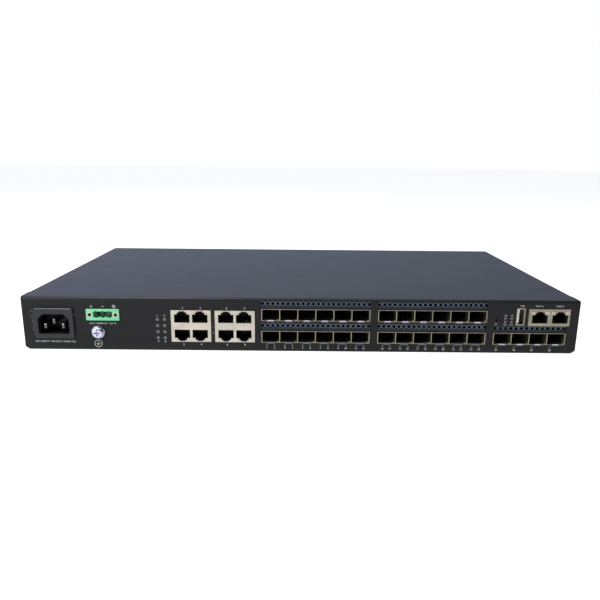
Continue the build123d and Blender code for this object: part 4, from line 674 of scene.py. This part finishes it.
def latch_edge(row):
    """A light strip along the upper edge of a cage's latch tongue, about x = 0: a painted glint where the
    tongue catches the light.
    """
    floor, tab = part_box(row)[0].z + LATCH_GLINT_RISE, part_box("latch_tongues")[0].y
    half = LATCH_GLINT_WIDE / 2
    low = (-half, tab - LATCH_GLINT_PROUD, floor)
    return box_shape(low, (half, tab + LATCH_GLINT_DEEP, floor + LATCH_GLINT_HIGH), LATCH_GLINT_ROUND)


def spring_nub(row):
    """The small spring finger low on the right of a cage, for a cell about x = 0."""
    low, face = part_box(row)[0].z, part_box(row)[0].y + NUB_BACK
    right = cell_pitch(row) / 2 - CAGE_WALL / 2 - NUB_FROM_WALL
    corner = (right - NUB_WIDE, face, low + CAGE_SKIN)
    return box_shape(corner, (right, face + NUB_DEEP, low + NUB_TOP), NUB_ROUND)


def vent_rim():
    """A raised light ring round one punched hole, about x = 0 and z = 0: a painted highlight for the hole's
    lit edge.
    """
    back = FACE_Y + VENT_STRIP_BACK
    return ring_shape(0.0, 0.0, RIM_OUTER, RIM_INNER, back - RIM_PROUD, back, RIM_SIDES)


class ModuleCages(SwitchStep):
    """Finish the module cages and their latch tongues"""

    bl_idname = "switch.module_cages"
    bl_label = "Module cages"

    def make(self):
        for node in CAGE_ROWS:
            dress(node, "cage_sheet")
        # All latch tongues take the darker bluish copy of their plating, painted shade
        dress("latch_tongues", "tab_plate")
        dress("cage_connectors", "insert_black")
        dress("vent_strips", "vent_sheet")
        edges, nubs, rims = [], [], []
        for row, cells in CAGE_ROWS.items():
            start, step = (cell_centre(row, 0), 0.0, 0.0), (cell_pitch(row), 0.0, 0.0)
            # Painted glint on the tongues: every row but the lower ones gets a bright strip, as if only they
            # caught the light
            if not row.startswith("cage_lower"):
                edges.append(in_a_row(latch_edge(row), "latch_plate", start, step, cells))
            # The spring nubs take the lighter copy of the cage plating, a painted highlight
            nubs.append(in_a_row(spring_nub(row), "cage_lip", start, step, cells))
            # Every vent hole gets a light ring, a painted highlight
            holes, pitch, above = VENTS[row]
            middle_x = (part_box(row)[0].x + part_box(row)[1].x) / 2
            first = (middle_x - pitch * (holes - 1) / 2, 0.0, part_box(row)[1].z + above)
            rims.append(in_a_row(vent_rim(), "vent_rim", first, (pitch, 0.0, 0.0), holes))
        settle(joined("latch_edges", edges), "latch_plate", CASE, "tongue_steel")
        settle(joined("cage_spring_nubs", nubs), "cage_lip", CASE, "cage_steel")
        settle(joined("vent_rims", rims), "vent_rim", CASE, "vent_steel")


class UprightSocket(SwitchStep):
    """Finish the upright USB socket"""

    bl_idname = "switch.upright_socket"
    bl_label = "Upright socket"

    def make(self):
        # The USB shell takes the lighter copy of the cage plating, a painted highlight
        softened("usb_shell", "cage_lip", "usb_steel", 0.5 * bpy.context.scene.switch_case.edge)
        dress("usb_tongue", "tongue_white")
        dress("usb_contacts", "gold_contact")


class Lights(SwitchStep):
    """Finish the lights and the reset button"""

    bl_idname = "switch.lights"
    bl_label = "Lights and reset"

    def make(self):
        dress("light_pipes", "light_pipe")
        dress("reset_button", "insert_black")
        dress("reset_switch", "insert_black")


class Boards(SwitchStep):
    """Finish the boards, their parts and their leads"""

    bl_idname = "switch.boards"
    bl_label = "Boards"

    def make(self):
        finishes = {
            "solder_mask": ("dc_entry_board", "power_board", "main_board", "upper_board", "service_board"),
            "sink_aluminium": ("power_heatsinks", "switch_heatsink"),
            "chip_black": ("switch_chip", "board_chips", "power_insulator"),
            "ivory_nylon": ("board_connectors",),
            "winding_tape": ("power_magnetics",),
            "can_sleeve": ("power_capacitors",),
            "mains_sleeve": ("ac_leads",),
            "low_sleeve": ("dc_leads", "output_leads", "fan_leads"),
            "nickel_blade": ("board_standoffs",),
        }
        for name, nodes in finishes.items():
            for node in nodes:
                dress(node, name)


class Fans(SwitchStep):
    """Finish the two fans"""

    bl_idname = "switch.fans"
    bl_label = "Fans"

    def make(self):
        for node in ("fan_frames", "fan_rotor_left", "fan_rotor_right"):
            dress(node, "fan_black")


# ---------------------------------------------------------------- printed marks

FONT_CAP_SHARE = 0.73
FONT_SWELL = 0.004
FONT_WELD = 0.001 * MM
LIGHT_LABEL_SHARE = 0.9
CELL_NUMBER_SHARE = 0.95

# Places and heights of the marks, in millimetres from the middle of the case's lower edge
JACK_NUMBERS_TOP = ((-93.3, "1"), (-79.3, "3"), (-58.6, "5"), (-44.4, "7"))
JACK_NUMBERS_BOTTOM = ((-93.3, "2"), (-79.3, "4"), (-58.6, "6"), (-44.4, "8"))
JACK_TOP_Z = 35.2
JACK_BOTTOM_Z = 5.25
LIGHT_LABELS = ((-113.5, 28.85, "1"), (-107.9, 28.85, "5"), (-113.5, 7.65, "4"), (-107.9, 7.65, "8"))
CELL_NUMBER_Z = 3.0
CELL_NUMBER_SPREAD = 3.05
SERVICE_NUMBER_SHIFT = -3.9
SERVICE_NUMBER_Z = 2.8
# x, z, text, height
WORDS = (
    (154.8, 24.1, "RST", 1.0),
    (161.8, 28.9, "SYS", 0.95),
    (166.85, 28.9, "FAN", 0.95),
    (161.8, 23.8, "PWR", 0.95),
    (166.85, 23.8, "AUX", 0.95),
    (174.2, 39.1, "USB", 1.35),
    (187.9, 39.2, "PORT A", 1.25),
    (204.0, 39.2, "PORT B", 1.25),
)
# Left end, right end, z, text, height
LINES = (
    (-167.0, -146.2, 22.1, "DC INPUT 12 V", 1.5),
    (-211.6, -179.6, 6.8, "AC INPUT 100-240 V 50/60 Hz", 1.5),
)
# x, z, width, height
FAINT_MARKS = (
    (-212.6, 31.6, 1.6, 0.4),
    (-212.4, 27.0, 0.4, 2.2),
    (-212.2, 23.4, 0.35, 2.6),
    (-211.9, 19.2, 0.35, 2.0),
    (-211.7, 16.6, 1.8, 0.5),
    (-210.2, 10.4, 1.4, 0.4),
    (-179.3, 29.0, 0.8, 1.4),
    (-178.4, 28.7, 1.6, 0.6),
    (-69.7, 19.6, 0.9, 0.5),
    (-69.5, 14.8, 1.1, 1.0),
)
HEADER_SIGN_Z = 35.9
HEADER_PLUS_X = -165.1
HEADER_MINUS_X = -156.0
HEADER_EARTH_X = -147.3
HEADER_EARTH_RADIUS = 1.3
HEADER_EARTH_LINE = 0.3
SIGN_SPAN = 1.9
EARTH_SIGN = (-161.4, 5.3)
EARTH_SIGN_RADIUS = 3.1


def written(text, x, z, height):
    """Characters centred on a point of the front panel, in millimetres, as a bmesh."""
    lift = bpy.context.scene.switch_labels.ink_lift
    curve = bpy.data.curves.new("characters", "FONT")
    curve.body = text
    curve.size = height * MM / FONT_CAP_SHARE
    curve.extrude = lift / 2
    curve.resolution_u = 2
    curve.offset = FONT_SWELL * curve.size
    holder = bpy.data.objects.new("characters", curve)
    bpy.context.scene.collection.objects.link(holder)
    held = bpy.context.evaluated_depsgraph_get()
    mesh = bpy.data.meshes.new_from_object(holder.evaluated_get(held), depsgraph=held)
    bpy.data.objects.remove(holder)
    shape = bmesh.new()
    shape.from_mesh(mesh)
    bpy.data.meshes.remove(mesh)
    bmesh.ops.remove_doubles(shape, verts=shape.verts, dist=FONT_WELD)
    xs = [v.co.x for v in shape.verts]
    ys = [v.co.y for v in shape.verts]
    centre = Vector(((min(xs) + max(xs)) / 2, (min(ys) + max(ys)) / 2, 0.0))
    upright = Matrix.Rotation(math.pi / 2, 4, "X")
    there = Matrix.Translation((x * MM, FACE_Y - lift / 2, z * MM))
    bmesh.ops.transform(shape, matrix=there @ upright @ Matrix.Translation(-centre), verts=shape.verts)
    return shape


def fitted(text, left, right, z, height):
    """A printed line that spans two places, as a bmesh."""
    centre = (left + right) / 2
    shape = written(text, centre, z, height)
    xs = [v.co.x for v in shape.verts]
    share = (right - left) * MM / (max(xs) - min(xs))
    there = Matrix.Translation((centre * MM, 0.0, 0.0))
    squeeze = there @ Matrix.Diagonal((share, 1.0, 1.0, 1.0)) @ there.inverted()
    bmesh.ops.transform(shape, matrix=squeeze, verts=shape.verts)
    return shape


def dash(x, z, wide, high):
    """A printed bar centred on a point of the front panel, in millimetres, as a bmesh."""
    lift = bpy.context.scene.switch_labels.ink_lift
    low = ((x - wide / 2) * MM, FACE_Y - lift, (z - high / 2) * MM)
    high_corner = ((x + wide / 2) * MM, FACE_Y, (z + high / 2) * MM)
    return box_shape(low, high_corner)


# Parts of the earth symbol in shares of its ring's radius
EARTH_STEM_RISE = 0.33
EARTH_STEM_LONG = 0.62
EARTH_BARS = (1.1, 0.7, 0.3)
EARTH_BAR_DROP = 0.02
EARTH_BAR_STEP = 0.22
EARTH_BAR_THIN = 0.8


def earth_sign(x, z, radius, line):
    """The earth symbol in its ring, in millimetres, as bmeshes."""
    lift = bpy.context.scene.switch_labels.ink_lift
    shapes = [
        ring_shape(x * MM, z * MM, radius * MM, (radius - line) * MM, FACE_Y - lift, FACE_Y),
        dash(x, z + radius * EARTH_STEM_RISE, line, radius * EARTH_STEM_LONG),
    ]
    for step, share in enumerate(EARTH_BARS):
        drop = radius * (EARTH_BAR_DROP + EARTH_BAR_STEP * step)
        shapes.append(dash(x, z - drop, radius * share, line * EARTH_BAR_THIN))
    return shapes


class Labels(SwitchStep):
    """Print the numbers, words and signs on the front panel"""

    bl_idname = "switch.labels"
    bl_label = "Labels"

    def make(self):
        sizes = bpy.context.scene.switch_labels
        digit, line = sizes.digit / MM, sizes.line / MM
        cell_digit = CELL_NUMBER_SHARE * digit
        shapes = []
        for x, text in JACK_NUMBERS_TOP:
            shapes.append(written(text, x, JACK_TOP_Z, digit))
        for x, text in JACK_NUMBERS_BOTTOM:
            shapes.append(written(text, x, JACK_BOTTOM_Z, digit))
        for x, z, text in LIGHT_LABELS:
            shapes.append(written(text, x, z, LIGHT_LABEL_SHARE * digit))
        number = 0
        for row in ("cage_lower_left", "cage_lower_right"):
            for cell in range(CELLS):
                for side in (-1, 1):
                    number += 1
                    x = cell_centre(row, cell) / MM + side * CELL_NUMBER_SPREAD
                    shapes.append(written(str(number), x, CELL_NUMBER_Z, cell_digit))
        for cell in range(SERVICE_CELLS):
            number += 1
            x = cell_centre("cage_service", cell) / MM + SERVICE_NUMBER_SHIFT
            shapes.append(written(str(number), x, SERVICE_NUMBER_Z, cell_digit))
        for x, z, text, height in WORDS:
            shapes.append(written(text, x, z, height))
        for left, right, z, text, height in LINES:
            shapes.append(fitted(text, left, right, z, height))
        shapes.append(dash(HEADER_PLUS_X, HEADER_SIGN_Z, SIGN_SPAN, line))
        shapes.append(dash(HEADER_PLUS_X, HEADER_SIGN_Z, line, SIGN_SPAN))
        shapes.append(dash(HEADER_MINUS_X, HEADER_SIGN_Z, SIGN_SPAN, line))
        shapes += earth_sign(HEADER_EARTH_X, HEADER_SIGN_Z, HEADER_EARTH_RADIUS, HEADER_EARTH_LINE)
        shapes += earth_sign(*EARTH_SIGN, EARTH_SIGN_RADIUS, line)
        settle(joined("printed_labels", shapes), "printed_ink", CASE, "case_paint")
        faint = [dash(x, z, wide, high) for x, z, wide, high in FAINT_MARKS]
        settle(joined("faint_marks", faint), "faint_ink", CASE, "case_paint")


# ---------------------------------------------------------------- stage

FLOOR_DROP = 0.2 * MM

# How the surround's brightness leans to the left, and how much of its range it reaches
SKY_LEFTWARD = -0.45
SKY_REACH = 0.85

# Lights: name, place, aim, size, name of the property with its power, colour
WHITE = (1.0, 1.0, 1.0)
COOL = (0.93, 0.93, 1.0)
LIGHTS = (
    ("overhead", (0.0, -0.1, 1.25), (0.0, 0.0, 0.0), (1.6, 1.2), "overhead_power", WHITE),
    ("upper_left", (-0.55, -0.25, 0.95), (-0.15, -0.1, 0.04), (0.4, 0.4), "lamp_power", COOL),
    ("strip", (0.05, -0.4, 0.95), (0.0, -0.12, 0.04), (1.2, 0.12), "strip_power", COOL),
    ("left_key", (-0.95, -0.7, 0.3), (-0.2, -0.12, 0.02), (0.6, 0.5), "key_power", WHITE),
)
CAMERA_PLACE = (-0.00233, -0.55793, 0.15369)
CAMERA_YAW = 0.00336
CAMERA_PITCH = 0.2485
CAMERA_ROLL = 0.00982
CAMERA_LENS = 34.57
CAMERA_SENSOR = 36.0


def camera():
    """The camera in front of the switch, a little above it."""
    data = bpy.data.cameras.new("camera")
    data.sensor_width = CAMERA_SENSOR
    data.lens = CAMERA_LENS
    data.clip_start = 0.01
    data.clip_end = 50.0
    made = bpy.data.objects.new("camera", data)
    bpy.context.scene.collection.objects.link(made)
    ahead = Vector(
        (
            math.sin(CAMERA_YAW) * math.cos(CAMERA_PITCH),
            math.cos(CAMERA_YAW) * math.cos(CAMERA_PITCH),
            -math.sin(CAMERA_PITCH),
        )
    )
    level = Vector((math.cos(CAMERA_YAW), -math.sin(CAMERA_YAW), 0.0))
    above = level.cross(ahead)
    right = math.cos(CAMERA_ROLL) * level + math.sin(CAMERA_ROLL) * above
    up = math.cos(CAMERA_ROLL) * above - math.sin(CAMERA_ROLL) * level
    turn = Matrix((right, up, -ahead)).transposed()
    made.matrix_world = Matrix.Translation(CAMERA_PLACE) @ turn.to_4x4()
    bpy.context.scene.camera = made


def soft_light(name, place_at, aim, size, watts, tone):
    """A rectangular soft light that points at a place."""
    data = bpy.data.lights.new(name, "AREA")
    data.shape = "RECTANGLE"
    data.size, data.size_y = size
    data.energy = watts
    data.color = tone
    made = bpy.data.objects.new(name, data)
    bpy.context.scene.collection.objects.link(made)
    made.location = place_at
    made.rotation_mode = "QUATERNION"
    made.rotation_quaternion = (Vector(aim) - Vector(place_at)).to_track_quat("-Z", "Y")


def surround():
    """White to the camera; for light and reflections, bluish behind and dim in front."""
    looks = bpy.context.scene.switch_stage
    world = bpy.data.worlds.new("studio")
    bpy.context.scene.world = world
    world.use_nodes = True
    tree = world.node_tree
    tree.nodes.clear()
    make, link = tree.nodes.new, tree.links.new
    result = make("ShaderNodeOutputWorld")
    seen, lit = make("ShaderNodeBackground"), make("ShaderNodeBackground")
    either = make("ShaderNodeMixShader")
    path, spot, parts = make("ShaderNodeLightPath"), make("ShaderNodeTexCoord"), make("ShaderNodeSeparateXYZ")
    ramp = make("ShaderNodeValToRGB")
    ramp.color_ramp.elements[0].position = 0.0
    ramp.color_ramp.elements[0].color = (*looks.front_sky, 1.0)
    ramp.color_ramp.elements[1].position = 1.0
    ramp.color_ramp.elements[1].color = (*looks.back_sky, 1.0)
    seen.inputs["Color"].default_value = (1.0, 1.0, 1.0, 1.0)
    leftward = make("ShaderNodeMath")
    leftward.operation = "MULTIPLY_ADD"
    leftward.inputs[1].default_value = SKY_LEFTWARD
    share = make("ShaderNodeMath")
    share.operation = "MULTIPLY"
    share.inputs[1].default_value = SKY_REACH
    lit.inputs["Strength"].default_value = looks.sky
    link(spot.outputs["Generated"], parts.inputs["Vector"])
    link(parts.outputs["X"], leftward.inputs[0])
    link(parts.outputs["Y"], leftward.inputs[2])
    link(leftward.outputs["Value"], share.inputs[0])
    link(share.outputs["Value"], ramp.inputs["Fac"])
    link(ramp.outputs["Color"], lit.inputs["Color"])
    link(path.outputs["Is Camera Ray"], either.inputs["Fac"])
    link(lit.outputs["Background"], either.inputs[1])
    link(seen.outputs["Background"], either.inputs[2])
    link(either.outputs["Shader"], result.inputs["Surface"])


class Stage(SwitchStep):
    """Lay the floor and set the lights, surround and camera"""

    bl_idname = "switch.stage"
    bl_label = "Stage"

    def make(self):
        looks = bpy.context.scene.switch_stage
        half = looks.floor_side / 2
        sheet = bmesh.new()
        corners = ((-half, -half), (half, -half), (half, half), (-half, half))
        sheet.faces.new([sheet.verts.new((x, y, -FLOOR_DROP)) for x, y in corners])
        floor = joined("floor", [sheet])
        floor.data.materials.append(finish("studio_floor"))
        for name, place_at, aim, size, power_name, tone in LIGHTS:
            soft_light(name, place_at, aim, size, getattr(looks, power_name), tone)
        surround()
        scene = bpy.context.scene
        scene.view_settings.view_transform = "Standard"
        camera()


# ---------------------------------------------------------------- panel and registering

STEPS = (
    Stage,
    CaseSheets,
    Fixings,
    MainsInlet,
    TerminalHeader,
    CopperJacks,
    ModuleCages,
    UprightSocket,
    Lights,
    Boards,
    Fans,
    Labels,
)


class SwitchPanel(bpy.types.Panel):
    """Lists the steps and the sizes and colours they use"""

    bl_idname = "VIEW3D_PT_switch"
    bl_label = "Switch"
    bl_space_type = "VIEW_3D"
    bl_region_type = "UI"
    bl_category = "Switch"

    def draw(self, context):
        for step in STEPS:
            self.layout.operator(step.bl_idname)
        for name, group in LOOKS:
            held = getattr(context.scene, name)
            box = self.layout.box()
            for field in group.__annotations__:
                box.prop(held, field)


def register():
    """Adds the classes and the scene's settings."""
    for name, group in LOOKS:
        bpy.utils.register_class(group)
        setattr(bpy.types.Scene, name, bpy.props.PointerProperty(type=group))
    for step in STEPS:
        bpy.utils.register_class(step)
    bpy.utils.register_class(SwitchPanel)


def unregister():
    """Takes them away again."""
    bpy.utils.unregister_class(SwitchPanel)
    for step in reversed(STEPS):
        bpy.utils.unregister_class(step)
    for name, group in reversed(LOOKS):
        delattr(bpy.types.Scene, name)
        bpy.utils.unregister_class(group)


def main():
    """Makes the whole switch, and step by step."""
    register()
    for step in STEPS:
        family, action = step.bl_idname.split(".")
        getattr(getattr(bpy.ops, family), action)()


if __name__ == "__main__":
    main()
